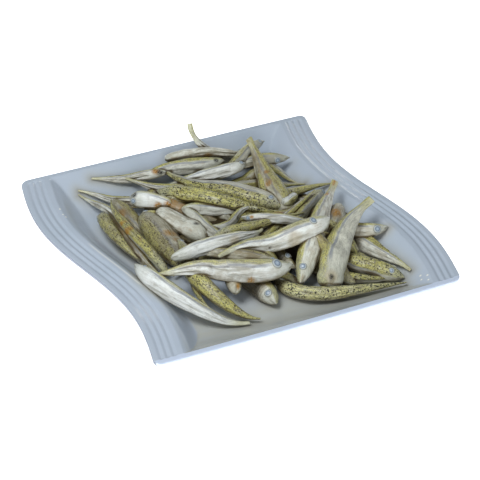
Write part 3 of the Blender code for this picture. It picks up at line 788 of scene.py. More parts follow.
class Heap:
    """The height field of the heap, on which each next fish is laid."""

    def __init__(self):
        ticks = np.arange(-FIELD, FIELD + CELL / 2.0, CELL)
        self.grid_x, self.grid_y = np.meshgrid(ticks, ticks, indexing="ij")
        self.glaze = glaze_field(self.grid_x, self.grid_y)
        self.field = np.maximum(self.glaze, mound_height(self.grid_x, self.grid_y))

    def lay(self, fish):
        """Lays one fish: returns its middle line and raises the field under it."""
        x, y, heading, length, bend, curl, depth, turn, lift = fish[:9]
        px, py = fish_spine(x, y, heading, length, bend, curl)
        place = np.linspace(0.0, 1.0, SPINE_POINTS)
        across, upward = laid_outline(place, depth, turn)
        distance_2 = (self.grid_x[..., None] - px) ** 2 + (self.grid_y[..., None] - py) ** 2
        nearest = distance_2.argmin(axis=-1)
        distance = np.sqrt(distance_2.min(axis=-1))
        under = distance < across[nearest]
        bulge = np.sqrt(np.clip(1.0 - (distance / across[nearest]) ** 2, 0.0, 1.0))
        below = np.where(under, upward[nearest] * bulge, 0.0)
        spots = nearest[under]
        floor = self.glaze[cell(px, py)] + upward
        np.maximum.at(floor, spots, self.glaze[under] + below[under])
        rest = self.resting(cell(px, py), upward, spots, self.field[under] - PRESS + below[under])
        rest = np.maximum(rest, floor)
        run = place * length
        z = (rest[None, :] - DROOP * (run[:, None] - run[None, :]) ** 2).max(axis=1)
        z = np.maximum(evened(z, LINE_STEPS), floor)
        z += lift * np.clip((place - LIFT_START) / (1.0 - LIFT_START), 0.0, 1.0) ** LIFT_CURVE
        top = np.where(under, z[nearest] + below, 0.0)
        np.maximum(self.field, top, out=self.field)
        return np.stack((px, py + SHIFT, z), axis=1)

    def resting(self, cells, upward, spots, touch):
        """Heights at which the middle line would rest, between the highest touch and the mean one."""
        rest = self.field[cells] - PRESS + upward
        highest = np.full(SPINE_POINTS, -np.inf)
        np.maximum.at(highest, spots, touch)
        total = np.bincount(spots, touch, SPINE_POINTS)
        count = np.bincount(spots, minlength=SPINE_POINTS)
        found = count > 0
        rest[found] = 0.5 * (highest[found] + total[found] / count[found])
        return rest

    def tuck(self, fish):
        """Middle line of a fish that lies just under the others and doesn't raise the field."""
        x, y, heading, length, bend, curl, depth = fish[:7]
        px, py = fish_spine(x, y, heading, length, bend, curl)
        roof = evened(self.field[cell(px, py)], ROOF_STEPS)
        z = np.maximum(roof - depth / 2.0 - TUCK, self.glaze[cell(px, py)] + depth / 3.0)
        return np.stack((px, py + SHIFT, z), axis=1)

    def sinkage(self, points):
        """How far points lie below the heap's surface round them."""
        smooth = self.field
        for _ in range(BLUR_STEPS):
            padded = np.pad(smooth, 1, mode="edge")
            around = padded[:-2, 1:-1] + padded[2:, 1:-1] + padded[1:-1, :-2] + padded[1:-1, 2:]
            smooth = 0.5 * smooth + 0.125 * around
        return smooth[cell(points[:, 0], points[:, 1] - SHIFT)] - points[:, 2]


class FishBody:
    """Where points of a fish's body lie once it is bent along its middle line."""

    def __init__(self, fish, line):
        laid, rolled = radians(fish[7]), radians(fish[7] + fish[9])
        self.turn = rolled
        self.length = fish[3]
        laid_height = np.hypot(sin(laid), FLATNESS * cos(laid))
        self.depth = fish[6] * laid_height / np.hypot(sin(rolled), FLATNESS * cos(rolled))
        self.look = LOOKS[fish[10]]
        kinds = [item for item in fish[11:] if isinstance(item, str)]
        self.head = next((kind for kind in kinds if kind in HEAD_OUTLINES), "eyed")
        self.tail = next((kind for kind in kinds if kind not in HEAD_OUTLINES), "narrow")
        self.marks = [item for item in fish[11:] if not isinstance(item, str)]
        usual = ("eye", 0.28 * self.depth / self.length + 0.05, 0.30, 0.8 + EYE_SHARE * self.depth)
        self.eye = next((mark for mark in self.marks if mark[0] == "eye"), usual)
        self.line = line
        self.places = np.linspace(0.0, 1.0, len(line))

    def along(self, place):
        """Points of the middle line at these places from snout (0) to tail tip (1)."""
        return np.stack([np.interp(place, self.places, self.line[:, k]) for k in range(3)], axis=-1)

    def axes(self, place):
        """The directions to the back and to the upper flank at these places."""
        forward = self.along(np.clip(place - 0.04, 0.0, 1.0)) - self.along(np.clip(place + 0.04, 0.0, 1.0))
        forward /= np.linalg.norm(forward, axis=-1, keepdims=True)
        left = np.cross((0.0, 0.0, 1.0), forward)
        left /= np.linalg.norm(left, axis=-1, keepdims=True)
        up = np.cross(forward, left)
        back = cos(self.turn) * left + sin(self.turn) * up
        flank = cos(self.turn) * up - sin(self.turn) * left
        return forward, back, flank

    def point(self, place, height, out):
        """The point at this place, this far towards the back and this far out to the upper flank."""
        _, back, flank = self.axes(place)
        return self.along(place) + back * height[..., None] + flank * out[..., None]


def outline_at(place, body):
    """Half depth above and below the middle line and half thickness at these places."""
    place = place / CUTS.get(body.tail, 1.0)
    if body.tail == "blunt" or body.tail in CUTS:
        table = np.array(HEAD_OUTLINES[body.head] + BODY_OUTLINE[:4] + BLUNT_OUTLINE)
    else:
        table = np.array(HEAD_OUTLINES[body.head] + BODY_OUTLINE + TAIL_OUTLINES[body.tail])
    fine = np.linspace(0.0, 1.0, 401)
    window = np.full(2 * OUTLINE_BLUR + 1, 1.0 / (2 * OUTLINE_BLUR + 1))
    values = []
    for column, share in ((1, 1.0), (2, 1.0), (3, ROUNDNESS)):
        curve = np.interp(fine, table[:, 0], table[:, column])
        padded = np.pad(curve, OUTLINE_BLUR, mode="edge")
        smooth = np.convolve(padded, window, mode="valid")
        curve = np.where(fine < 0.05, curve, smooth)
        values.append(np.interp(place, fine, curve) * body.depth / 2.0 * share)
    return values


def ripple(rng, value, waves, size):
    """A smooth random curve: a sum of sine waves with up to this many periods over 0 to 1."""
    total = np.zeros_like(value)
    for n in range(1, waves + 1):
        total += rng.normal() * np.sin(2.0 * pi * n * value + rng.uniform(0.0, 2.0 * pi)) / n ** 0.5
    return total * size


def fish_surface(body, rng, stations, sides, wrinkle):
    """Points of one fish's skin, ring by ring from snout to tail, with their place on the body."""
    t = np.linspace(0.0, 1.0, stations)
    place = t - 0.20 * np.sin(2.0 * pi * t) / (2.0 * pi)
    place = np.clip(place, 0.0, 1.0) * CUTS.get(body.tail, 1.0)
    angle = np.arange(sides) * 2.0 * pi / sides
    s, a = np.meshgrid(place, angle, indexing="ij")
    above, below, thick = outline_at(s, body)
    c, w = np.cos(a), np.sin(a)
    half = np.where(c > 0.0, above, below)
    height = half * np.sign(c) * np.abs(c) ** 0.95
    out = thick * w * (1.0 + 0.10 * c)
    run = s * body.length
    trunk = smoothstep((s - 0.20) / 0.10) * smoothstep((0.90 - s) / 0.15)
    # Gill cover: a raised edge with a groove behind it
    gill = 0.09 + 1.3 * body.eye[1] + 0.030 * w * w - 0.030 * c
    past = (s - gill) * body.length
    cover = np.where(past < 0.0, 0.10 * np.exp(past / 4.0), -0.22 * np.exp(-past / 1.4))
    cover *= smoothstep((np.abs(w) - 0.55) / 0.35) * smoothstep((0.55 - c) / 0.4)
    # Mouth: a groove under the snout
    jaw = (height + 0.16 * body.depth * (0.4 + s * 4.0)) / 0.8
    mouth = -0.5 * np.exp(-jaw ** 2) * smoothstep((0.075 - s) / 0.03)
    # Folds along the trunk: soft waves round the body, and narrow creases
    folds = np.zeros_like(s)
    for n in (5, 7, 8, 11, 13):
        drift = ripple(rng, s, 3, 0.8)
        folds += rng.uniform(0.5, 1.0) * np.sin(n * a + rng.uniform(0.0, 2.0 * pi) + drift)
    folds *= 0.10 * wrinkle * trunk
    for _ in range(8):
        line = rng.uniform(0.0, 2.0 * pi) + ripple(rng, s, 3, 0.16)
        apart = np.abs((a - line + pi) % (2.0 * pi) - pi) * body.depth / 2.0
        reach = smoothstep(0.4 + ripple(rng, s, 3, 0.8))
        folds -= rng.uniform(0.30, 0.85) * wrinkle * np.exp(-(apart / 0.8) ** 2) * reach * trunk
    # A sunken strip over the belly, creases across it, and lumps
    hollow = -1.1 * wrinkle * np.exp(-((c + 0.55) / 0.3) ** 2) * trunk * (0.7 + 0.3 * ripple(rng, s, 3, 0.5))
    phase = run * 2.0 * pi / rng.uniform(3.5, 6.5) + 4.0 * c + ripple(rng, s, 6, 2.2)
    creases = 0.03 * wrinkle * np.sin(phase)
    creases *= smoothstep((0.35 - c) / 0.5) * trunk * smoothstep(0.1 + ripple(rng, s, 5, 0.6))
    lumps = ripple(rng, s, 4, 0.022 * body.depth / 2.0) * trunk * np.cos(a - rng.uniform(0.0, 2.0 * pi))
    # How far all this pushes the skin out, and the relief that the folds' painted shade and highlight follow
    push = cover + mouth + folds + hollow + creases + lumps
    shares = np.stack((s, height / np.maximum(half, 0.1), out / np.maximum(thick, 0.1)), -1)
    push = np.maximum(push - 0.14 * body.depth * mark_field(body, "dent", shares, run), -0.25 * body.depth)
    relief = 1.2 * cover + 1.5 * mouth + folds + creases + 0.3 * hollow
    size = np.maximum(np.hypot(height, out), 0.5)
    room = smoothstep((s[-1] - s) / 0.12) * smoothstep(s / 0.02 + 0.2)
    swell = 1.0 + push * room / size
    height, out = height * swell, out * swell
    # Tail: forked, and with rays
    fork = smoothstep((s - 0.93) / 0.07) * (1.0 - np.abs(c) ** 1.5) * 0.03 * (body.tail == "forked")
    rays = 0.12 * np.sin(c * 14.0) * smoothstep((s - 0.92) / 0.05) * (body.tail in TAIL_OUTLINES)
    out = out + np.sign(w) * rays * 0.5
    points = body.point(s - fork, height, out)
    unbent = np.stack((run, height, out), axis=-1)
    return points, shares, unbent, relief


def mark_field(body, kind, shares, run):
    """How strongly a kind of mark shows on each point, on both flanks alike."""
    total = np.zeros(run.shape)
    for made, place, height, radius in body.marks:
        if made == kind:
            apart = np.hypot(run - place * body.length, (shares[..., 1] - height) * body.depth / 2.0)
            total = np.maximum(total, smoothstep(1.5 - apart / radius))
    return total


def eye_places(body):
    """Place, height and distance out of a fish's eyes, one on either flank."""
    _, s, share, _ = body.eye
    above, below, thick = outline_at(np.array(s), body)
    height = share * float(above if share > 0.0 else below)
    out = float(thick) * (1.0 - share * share) ** 0.5
    return s, height, out


def contact_tree(points):
    """A search tree over the points of all fish."""
    tree = KDTree(len(points))
    for number, point in enumerate(points.tolist()):
        tree.insert(point, number)
    tree.balance()
    return tree


def nearness(tree, points, normals, owners):
    """How near the next fish lies in front of each point: 1 where they touch."""
    probes = points + normals * CONTACT_REACH
    found = np.array([tree.find(probe)[1:] for probe in probes.tolist()])
    other = owners[found[:, 0].astype(int)] != owners
    return np.where(other, np.clip(1.0 - found[:, 1] / CONTACT_REACH, 0.0, 1.0), 0.0)


def shade_plate_near_fish(mesh, tree):
    """Stores on the plate how near the fish are to it, for the painted shade round them."""
    places = np.empty(len(mesh.vertices) * 3)
    mesh.vertices.foreach_get("co", places)
    found = [tree.find(place)[2] for place in (places.reshape(-1, 3) / MM).tolist()]
    store(mesh, "film", np.clip(1.0 - np.array(found) / FISH_SHADE_REACH, 0.0, 1.0))


class SkinBuilder:
    """Gathers the skins of a layer of fish into one mesh."""

    def __init__(self):
        self.points, self.faces, self.owner = [], [], []
        self.kept = {name: [] for name in ("dull", "place", "skin", "tone", "mark", "stain")}
        self.total = 0

    def add(self, body, number, stations, sides):
        """Adds one fish, closed at snout and tail."""
        rng = np.random.default_rng(number)
        points, shares, unbent, relief = fish_surface(body, rng, stations, sides, body.look[6])
        count = stations * sides
        j, k = np.meshgrid(np.arange(stations - 1), np.arange(sides), indexing="ij")
        m = (k + 1) % sides
        quads = np.stack((j * sides + k, (j + 1) * sides + k, (j + 1) * sides + m, j * sides + m), -1)
        first = np.arange(sides) + self.total
        self.faces += (quads.reshape(-1, 4) + self.total).tolist()
        self.faces += [first.tolist(), (first + count - sides)[::-1].tolist()]
        self.points.append(points.reshape(-1, 3))
        self.owner.append(np.full(count, number))
        self.total += count
        olive, grey, speckles, warm, milky, dull, _ = body.look
        shade = rng.uniform(-0.10, 0.10, 5)
        marks = np.empty((count, 3))
        marks[:, 0], marks[:, 1], marks[:, 2] = warm + shade[3], milky + shade[4], relief.ravel()
        run = shares[..., 0] * body.length
        stains = [mark_field(body, kind, shares, run) for kind in ("blood", "dark", "warm")]
        values = {
            "dull": np.full(count, dull + rng.uniform(-0.05, 0.15)),
            "place": shares.reshape(-1, 3),
            "skin": unbent.reshape(-1, 3) + np.array(SKIN_OFFSET) * number,
            "tone": np.tile((olive + shade[0], grey + shade[1], speckles * (1.0 + shade[2])), (count, 1)),
            "mark": marks,
            "stain": np.stack(stains, axis=-1).reshape(-1, 3),
        }
        for name, value in values.items():
            self.kept[name].append(value)

    def mesh(self, name, heap):
        """The layer's mesh, with what the skin's colours follow stored on it."""
        points = np.concatenate(self.points)
        mesh = mesh_from(name, points, self.faces)
        self.normals = np.empty(len(points) * 3, dtype=np.float32)
        mesh.vertex_normals.foreach_get("vector", self.normals)
        store(mesh, "facing", self.normals[2::3])
        store(mesh, "sunk", heap.sinkage(points))
        for kept, values in self.kept.items():
            store(mesh, kept, np.concatenate(values))
        return mesh


def skin_material(settings):
    """Raw fish skin: olive speckled back, violet-grey stripe, silvery flank and cream belly."""
    mat, nodes, shader = new_material("fish_skin")
    times, minus, sloped, step, tint = nodes.times, nodes.minus, nodes.sloped, nodes.step, nodes.tint
    along, high, _ = nodes.split(nodes.stored("place", "Vector"))
    skin = nodes.stored("skin", "Vector")
    olive, grey, speckles = nodes.split(nodes.stored("tone", "Vector"))
    warm, milky, relief = nodes.split(nodes.stored("mark", "Vector"))
    stained, dark, sallow = nodes.split(nodes.stored("stain", "Vector"))

    def grain(scale, detail, roughness=0.55):
        return nodes.noise(nodes.scaled(skin, scale), 1.0, detail, roughness)

    broad = grain((0.05, 0.12, 0.12), 3.0)
    patch = grain((0.12, 0.22, 0.22), 4.0, 0.6)
    streak = grain((0.08, 0.75, 0.75), 4.0)
    fine = grain((0.9, 1.3, 1.3), 4.0, 0.6)
    uneven = step(fine, 0.34, 0.56, 0.40, 1.0)
    level = nodes.varied(nodes.varied(high, broad, 0.55), streak, 0.40)
    # Belly
    belly = tint(milky, (*settings.cream, 1.0), settings.white)
    belly = tint(times(step(patch, 0.38, 0.62), warm), belly, settings.warm)
    belly = tint(times(step(streak, 0.48, 0.32), sloped(milky, -0.20, 0.32)), belly, settings.shade)
    # Back
    gold = step(nodes.math("ADD", times(fine, 0.6), times(streak, 0.4)), 0.40, 0.57)
    top = tint(gold, (*settings.olive, 1.0), settings.yellow)
    pale = times(step(patch, 0.48, 0.66), step(fine, 0.42, 0.60))
    top = tint(times(pale, 0.75), top, settings.cream)
    top = tint(times(step(patch, 0.46, 0.30), 0.5), top, settings.shade)
    top = tint(times(step(milky, 0.5, 1.0), 0.25), top, settings.cream)
    back = step(minus(level, sloped(olive, -0.75, 0.72)), -0.08, 0.22)
    colour = nodes.mix(back, belly, top)
    # Stripe and silvery flank
    rise = nodes.math("ABSOLUTE", minus(level, sloped(olive, -0.50, 0.52)))
    trunk = times(step(along, 0.16, 0.26), step(along, 0.97, 0.88))
    band = times(minus(1.0, step(rise, 0.05, 0.18)), trunk)
    colour = tint(times(band, sloped(grey, 0.35, 0.60)), colour, settings.stripe)
    cover = times(grey, step(patch, 0.30, 0.70, 0.25, 0.75))
    colour = tint(times(cover, minus(1.0, times(back, 0.7))), colour, settings.grey)
    # Head and tail
    colour = tint(times(step(along, 0.23, 0.08), 0.45), colour, settings.head)
    colour = tint(times(step(along, 0.80, 0.94), 0.60), colour, settings.tail)
    # Fine lines along the flank, and the net of the scales' edges
    for across, width, least, weight in ((0.50, 0.026, 0.25, 0.60), (1.00, 0.040, 0.45, 0.40)):
        line = nodes.math("ABSOLUTE", minus(grain((0.04, across, across), 2.0), 0.5))
        line = times(step(line, width, 0.3 * width), step(patch, 0.36, 0.58))
        line = times(line, step(along, 0.25, 0.65, least, 1.0))
        line = times(line, sloped(milky, -0.40, 1.0))
        colour = tint(times(line, weight), colour, settings.line)
    net = nodes.cells(skin, (0.62, 0.80, 0.80), feature="DISTANCE_TO_EDGE")["Distance"]
    net = times(step(net, 0.12, 0.02), sloped(back, 0.8, 0.2))
    colour = tint(times(net, 0.22), colour, settings.line)
    # Speckles, large and small
    covered = step(minus(level, sloped(speckles, -0.55, 0.66)), -0.02, 0.10)
    covered = times(covered, step(patch, 0.30, 0.52, 0.35, 1.0))
    blot = nodes.noise(skin, 0.55, 3.0, 0.6)
    crowd = step(grain((0.20, 0.30, 0.30), 2.0), 0.36, 0.62, 0.25, 1.15)
    for size, share, weight in ((0.62, 0.75, 0.95), (1.00, 0.62, 0.90)):
        cells = nodes.cells(skin, (size * 0.9, size, size))
        dot = step(nodes.varied(cells["Distance"], blot, 1.1), 0.46, 0.35)
        chance = nodes.add("ShaderNodeSeparateColor", {0: cells["Color"]}).outputs[0]
        rare = nodes.math("LESS_THAN", chance, times(times(speckles, share), crowd))
        dots = times(times(dot, rare), covered)
        colour = tint(times(dots, weight), colour, settings.speckle)
    # Stains
    blood = step(grain((0.09, 0.16, 0.16), 3.0, 0.6), 0.64, 0.76)
    blood = times(times(blood, sloped(warm, 0.6, 0.15)), 0.6)
    colour = tint(times(sallow, 0.55), colour, settings.warm)
    colour = tint(nodes.math("MAXIMUM", blood, times(stained, uneven)), colour, settings.blood)
    colour = tint(times(dark, uneven), colour, settings.speckle)
    dull = times(nodes.stored("dull"), step(patch, 0.30, 0.65, 0.45, 0.90))
    colour = tint(dull, colour, settings.dull)
    # Painted shade: darker and browner on the lower sides, where two fish touch and deep in the gaps
    under = nodes.varied(nodes.stored("facing"), streak, 0.5)
    colour = tint(step(under, 0.22, -0.60, 0.0, 0.70), colour, settings.painted_shade)
    near = nodes.varied(nodes.stored("near"), fine, 0.3)
    colour = tint(step(near, 0.10, 0.80, 0.0, 0.85), colour, settings.seam)
    deep = nodes.varied(nodes.stored("sunk"), streak, 4.0)
    colour = tint(step(deep, 2.0, 10.0, 0.0, 0.50), colour, settings.painted_shade)
    colour = tint(step(deep, 8.0, 18.0, 0.0, 0.85), colour, settings.gap_shade_colour)
    # Folds: painted shade at the bottom and a painted highlight on the ridge
    colour = tint(times(step(relief, 0.05, -0.75), 0.50), colour, settings.crease)
    ridge_highlight = times(step(relief, 0.05, 0.6), 0.30)
    colour = nodes.mix(ridge_highlight, colour, (0.92, 0.91, 0.84, 1.0), "SCREEN")
    nodes.put(shader.inputs["Base Color"], colour)
    nodes.put(shader.inputs["Roughness"], sloped(streak, 0.25, 0.17))
    for name, value in (("IOR", 1.45), ("Coat Weight", 0.25), ("Coat Roughness", 0.12)):
        shader.inputs[name].default_value = value
    scales = nodes.cells(skin, (0.55, 0.75, 0.75))["Distance"]
    wrinkles = grain((0.22, 1.1, 1.1), 5.0, 0.6)
    nodes.bump(shader, sloped(scales, 0.25, wrinkles), 0.65, 0.0013)
    return mat


def eye_material():
    """A dead fish's eye: cloudy pupil, dark ring, silvery iris."""
    mat, nodes, shader = new_material("fish_eye")
    flat = nodes.scaled(nodes.stored("eye_place", "Vector"), (1.0, 1.0, 0.0))
    reach = nodes.add("ShaderNodeVectorMath", {0: flat}, operation="LENGTH").outputs["Value"]
    ramp = nodes.add("ShaderNodeValToRGB", {0: reach})
    band = ramp.color_ramp
    for number, (stop, colour) in enumerate(EYE_RINGS):
        item = band.elements[number] if number < 2 else band.elements.new(stop)
        item.position = stop
        item.color = (*colour, 1.0)
    nodes.put(shader.inputs["Base Color"], ramp.outputs[0])
    shader.inputs["Roughness"].default_value = 0.12
    shader.inputs["IOR"].default_value = 1.38
    return mat


def eye_tree():
    """Geometry Nodes that set a bulging eye on each point, turned as the point says."""
    tree, nodes, given = new_tree("fish_eyes", {"Segments": "Int", "Bulge": "Float", "Eye": "Material"})
    ball = nodes.add("GeometryNodeMeshUVSphere", {"Segments": given["Segments"], "Rings": 9, "Radius": 1.0})
    place = nodes.add("GeometryNodeInputPosition").outputs[0]
    inputs = {"Geometry": ball.outputs[0], "Name": "eye_place", "Value": place}
    kept = nodes.add("GeometryNodeStoreNamedAttribute", inputs, data_type="FLOAT_VECTOR", domain="POINT")
    squashed = nodes.add("ShaderNodeCombineXYZ", {"X": 1.0, "Y": 1.0, "Z": given["Bulge"]}).outputs[0]
    flat = nodes.add("GeometryNodeTransform", {"Geometry": kept.outputs[0], "Scale": squashed})
    turn = nodes.add("FunctionNodeEulerToRotation", {0: nodes.given("eye_turn", "FLOAT_VECTOR")})
    inputs = {
        "Points": given["Geometry"],
        "Instance": flat.outputs[0],
        "Rotation": turn.outputs[0],
        "Scale": nodes.given("eye_size", "FLOAT"),
    }
    eyes = nodes.add("GeometryNodeInstanceOnPoints", inputs).outputs[0]
    nodes.finish(eyes, given["Eye"])
    return tree


def core_material(settings):
    """Painted shade: a near-black mound that shows as the dark of the gaps between the fish."""
    mat, nodes, shader = new_material("heap_core")
    mottle = nodes.noise(nodes.add("ShaderNodeTexCoord").outputs["Object"], 90.0, 4.0)
    dark = settings.gap_shade_colour[:]
    nodes.put(shader.inputs["Base Color"], nodes.tint(mottle, (*dark, 1.0), [1.8 * v for v in dark]))
    shader.inputs["Roughness"].default_value = 0.5
    nodes.bump(shader, mottle, 0.6, 0.003)
    return mat


def colour_property(name, description, value):
    """A colour among the settings."""
    return bpy.props.FloatVectorProperty(
        name=name, description=description, subtype="COLOR", size=3, default=value
    )


class PlateSettings(bpy.types.PropertyGroup):
    """Sizes and colours of the plate."""

    ridge_start: bpy.props.FloatProperty(
        name="Ridge start", description="Where the first groove begins, in from a side edge",
        default=4.0 * MM, unit="LENGTH"
    )
    ridge_pitch: bpy.props.FloatProperty(
        name="Ridge pitch", description="Distance from one ridge to the next",
        default=5.0 * MM, unit="LENGTH"
    )
    ridge_depth: bpy.props.FloatProperty(
        name="Ridge depth", description="Depth of the grooves between the ridges",
        default=0.9 * MM, unit="LENGTH"
    )
    ridge_count: bpy.props.IntProperty(
        name="Ridges", description="Number of grooves along each rim", default=3, min=0
    )
    glaze_colour: colour_property("Glaze", "Colour of the glaze", (0.56, 0.625, 0.72))
    # Painted light: the paler colour of the front lip
    lip_light_colour: colour_property("Lip", "Thicker, paler glaze on the front lip", (0.69, 0.77, 0.93))
    # Warmer grey of the front wall, which round the fish is painted shade
    front_tint_and_shade_colour: colour_property("Well", "Glaze in the well, under a film of juice", (0.56, 0.56, 0.50))
    # Painted shade on the side rims' outer edges and the underside
    edge_shade_colour: colour_property(
        "Edge", "Outer edges of the side rims and the underside", (0.30, 0.33, 0.40)
    )
    # Painted shade on the glaze right against the fish
    fish_shade_colour: colour_property("Juice", "Brownish juice against the fish", (0.30, 0.27, 0.20))
    glaze_shade: colour_property("Glaze shade", "Second colour of the glaze", (0.53, 0.60, 0.69))


class FishSettings(bpy.types.PropertyGroup):
    """Fineness and colours of the fish."""

    stations: bpy.props.IntProperty(
        name="Rings", description="Rings of points along a fish", default=120, min=12
    )
    sides: bpy.props.IntProperty(name="Sides", description="Points round a fish", default=44, min=8)
    cream: colour_property("Cream", "Belly", (0.80, 0.78, 0.62))
    white: colour_property("White", "Milky belly", (0.97, 1.0, 0.98))
    warm: colour_property("Warm", "Tan patches", (0.44, 0.34, 0.18))
    shade: colour_property("Shade", "Dull streaks of the belly", (0.36, 0.36, 0.28))
    olive: colour_property("Olive", "Back", (0.25, 0.215, 0.08))
    yellow: colour_property("Yellow", "Bright scales of the back", (0.74, 0.70, 0.18))
    stripe: colour_property("Stripe", "Violet-grey stripe", (0.22, 0.24, 0.30))
    grey: colour_property("Grey", "Silvery flank", (0.46, 0.49, 0.47))
    head: colour_property("Head", "Head", (0.58, 0.60, 0.50))
    tail: colour_property("Tail", "Tail", (0.62, 0.60, 0.28))
    speckle: colour_property("Speckles", "Black dots of the back", (0.02, 0.02, 0.018))
    line: colour_property("Lines", "Fine lines along the flank and round the scales", (0.16, 0.16, 0.14))
    # Painted shade on the lower sides of the fish and deep in the gaps
    painted_shade: colour_property("Juice", "Moist lower sides of the fish", (0.20, 0.145, 0.05))
    # Painted shade where two fish touch
    seam: colour_property("Seams", "Where two fish touch", (0.085, 0.052, 0.012))
    dull: colour_property("Dull", "Dark skin of the dull fish", (0.26, 0.21, 0.11))
    # Painted shade at the bottom of the folds
    crease: colour_property("Creases", "The bottom of the folds", (0.15, 0.12, 0.05))
    blood: colour_property("Blood", "Orange-brown stains", (0.46, 0.20, 0.008))
    # Painted shade: the near-black deep in the gaps and on the core
    gap_shade_colour: colour_property("Gaps", "What shows between the fish", (0.030, 0.020, 0.006))


class StageSettings(bpy.types.PropertyGroup):
    """Floor and lights."""

    floor_colour: colour_property("Floor", "Colour of the floor", (0.93, 0.93, 0.93))
    floor_glow: bpy.props.FloatProperty(
        name="Floor glow", description="Light that the floor gives off", default=1.25
    )
    sky_strength: bpy.props.FloatProperty(
        name="Sky", description="Strength of the soft light all round", default=0.20
    )
    overhead_power: bpy.props.FloatProperty(
        name="Overhead", description="Power of the large soft light above", default=11.5, unit="POWER"
    )
    window_power: bpy.props.FloatProperty(
        name="Window", description="Power of the soft light from the front", default=10.0, unit="POWER"
    )
    lamp_power: bpy.props.FloatProperty(
        name="Lamp", description="Power of the small light that gives the glints",
        default=0.5, unit="POWER"
    )


class SILVERSIDES_OT_plate(bpy.types.Operator):
    """Make the porcelain plate with its ridged rims"""

    bl_idname = "silversides.plate"
    bl_label = "Plate"

    def execute(self, context):
        settings = context.scene.silversides_plate
        plate = show("porcelain_plate", plate_mesh())
        grow(plate, ridge_tree(), {
            "Start": settings.ridge_start,
            "Pitch": settings.ridge_pitch,
            "Count": float(settings.ridge_count),
            "Depth": settings.ridge_depth,
            "Glaze": porcelain_material(settings),
        })
        place_on_root(plate, "porcelain", "plate")
        return {"FINISHED"}


class SILVERSIDES_OT_fish(bpy.types.Operator):
    """Lay the fish on each other, layer by layer, and give them their eyes"""

    bl_idname = "silversides.fish"
    bl_label = "Fish"

    def execute(self, context):
        settings = context.scene.silversides_fish
        heap = Heap()
        skin = skin_material(settings)
        number = 0
        eyes = []
        layers = []
        for name, layer in LAYERS:
            builder = SkinBuilder()
            layers.append((name, builder))
            for fish in layer:
                body = FishBody(fish, heap.lay(fish))
                builder.add(body, number, settings.stations, settings.sides)
                if body.head == "eyed":
                    eyes += self.eyes_of(body)
                number += 1
        builder = SkinBuilder()
        layers.append(("tucked_fish", builder))
        for fish in TUCKED_FISH:
            builder.add(FishBody(fish, heap.tuck(fish)), number, settings.stations // 2, settings.sides // 2)
            number += 1
        meshes = [builder.mesh(name, heap) for name, builder in layers]
        points = np.concatenate([part for _, builder in layers for part in builder.points])
        owners = np.concatenate([part for _, builder in layers for part in builder.owner])
        normals = np.concatenate([builder.normals for _, builder in layers]).reshape(-1, 3)
        tree = contact_tree(points)
        near = nearness(tree, points, normals, owners)
        start = 0
        for (name, builder), mesh in zip(layers, meshes):
            store(mesh, "near", near[start:start + builder.total])
            start += builder.total
            mesh.materials.append(skin)
            place_on_root(show(name, mesh), "fish_skin", "fish_heap")
        shade_plate_near_fish(bpy.data.objects["porcelain_plate"].data, tree)
        self.make_eyes(eyes)
        return {"FINISHED"}

    def eyes_of(self, body):
        """Centre, facing and size of both eyes of a fish."""
        s, height, out = eye_places(body)
        forward, back, flank = body.axes(np.array(s))
        found = []
        for side in (1.0, -1.0):
            centre = body.point(np.array(s), np.array(height * EYE_SUNK), np.array(side * out * EYE_SUNK))
            facing = Vector(flank * side + back * body.eye[2] + forward * 0.15).normalized()
            turned = facing.to_track_quat("Z", "Y").to_euler()
            found.append((centre, turned, body.eye[3]))
        return found

    def make_eyes(self, eyes):
        """One piece with every eye, made on points by Geometry Nodes."""
        mesh = mesh_from("fish_eyes", [centre for centre, _, _ in eyes], [])
        store(mesh, "eye_turn", [tuple(turn) for _, turn, _ in eyes])
        store(mesh, "eye_size", [size * MM for _, _, size in eyes])
        piece = show("fish_eyes", mesh)
        grow(piece, eye_tree(), {"Segments": EYE_SEGMENTS, "Bulge": EYE_BULGE, "Eye": eye_material()})
        place_on_root(piece, "fish_skin")


class SILVERSIDES_OT_core(bpy.types.Operator):
    """Make the dark mound under the fish, its colour painted shade"""

    bl_idname = "silversides.core"
    bl_label = "Core"

    def execute(self, context):
        rings, sectors = CORE_RINGS, CORE_SECTORS
        points = [(MOUND_CENTRE[0], MOUND_CENTRE[1] + SHIFT, WELL_FLOOR + MOUND_HEIGHT)]
        for ring in range(1, rings + 1):
            reach = CORE_REACH * ring / rings
            for k in range(sectors):
                a = 2.0 * pi * k / sectors
                x = MOUND_CENTRE[0] + MOUND_RADII[0] * reach * cos(a)
                y = MOUND_CENTRE[1] + MOUND_RADII[1] * reach * sin(a)
                points.append((x, y + SHIFT, mound_height(x, y)))
        faces = [(0, 1 + k, 1 + (k + 1) % sectors) for k in range(sectors)]
        for ring in range(rings - 1):
            for k in range(sectors):
                a, b = 1 + ring * sectors + k, 1 + ring * sectors + (k + 1) % sectors
                faces.append((a, a + sectors, b + sectors, b))
        last = 1 + (rings - 1) * sectors
        faces.append(tuple(range(last + sectors - 1, last - 1, -1)))
        mesh = mesh_from("heap_core", points, faces)
        mesh.materials.append(core_material(context.scene.silversides_fish))
        place_on_root(show("heap_core", mesh), "fish_skin", "fish_heap")
        return {"FINISHED"}


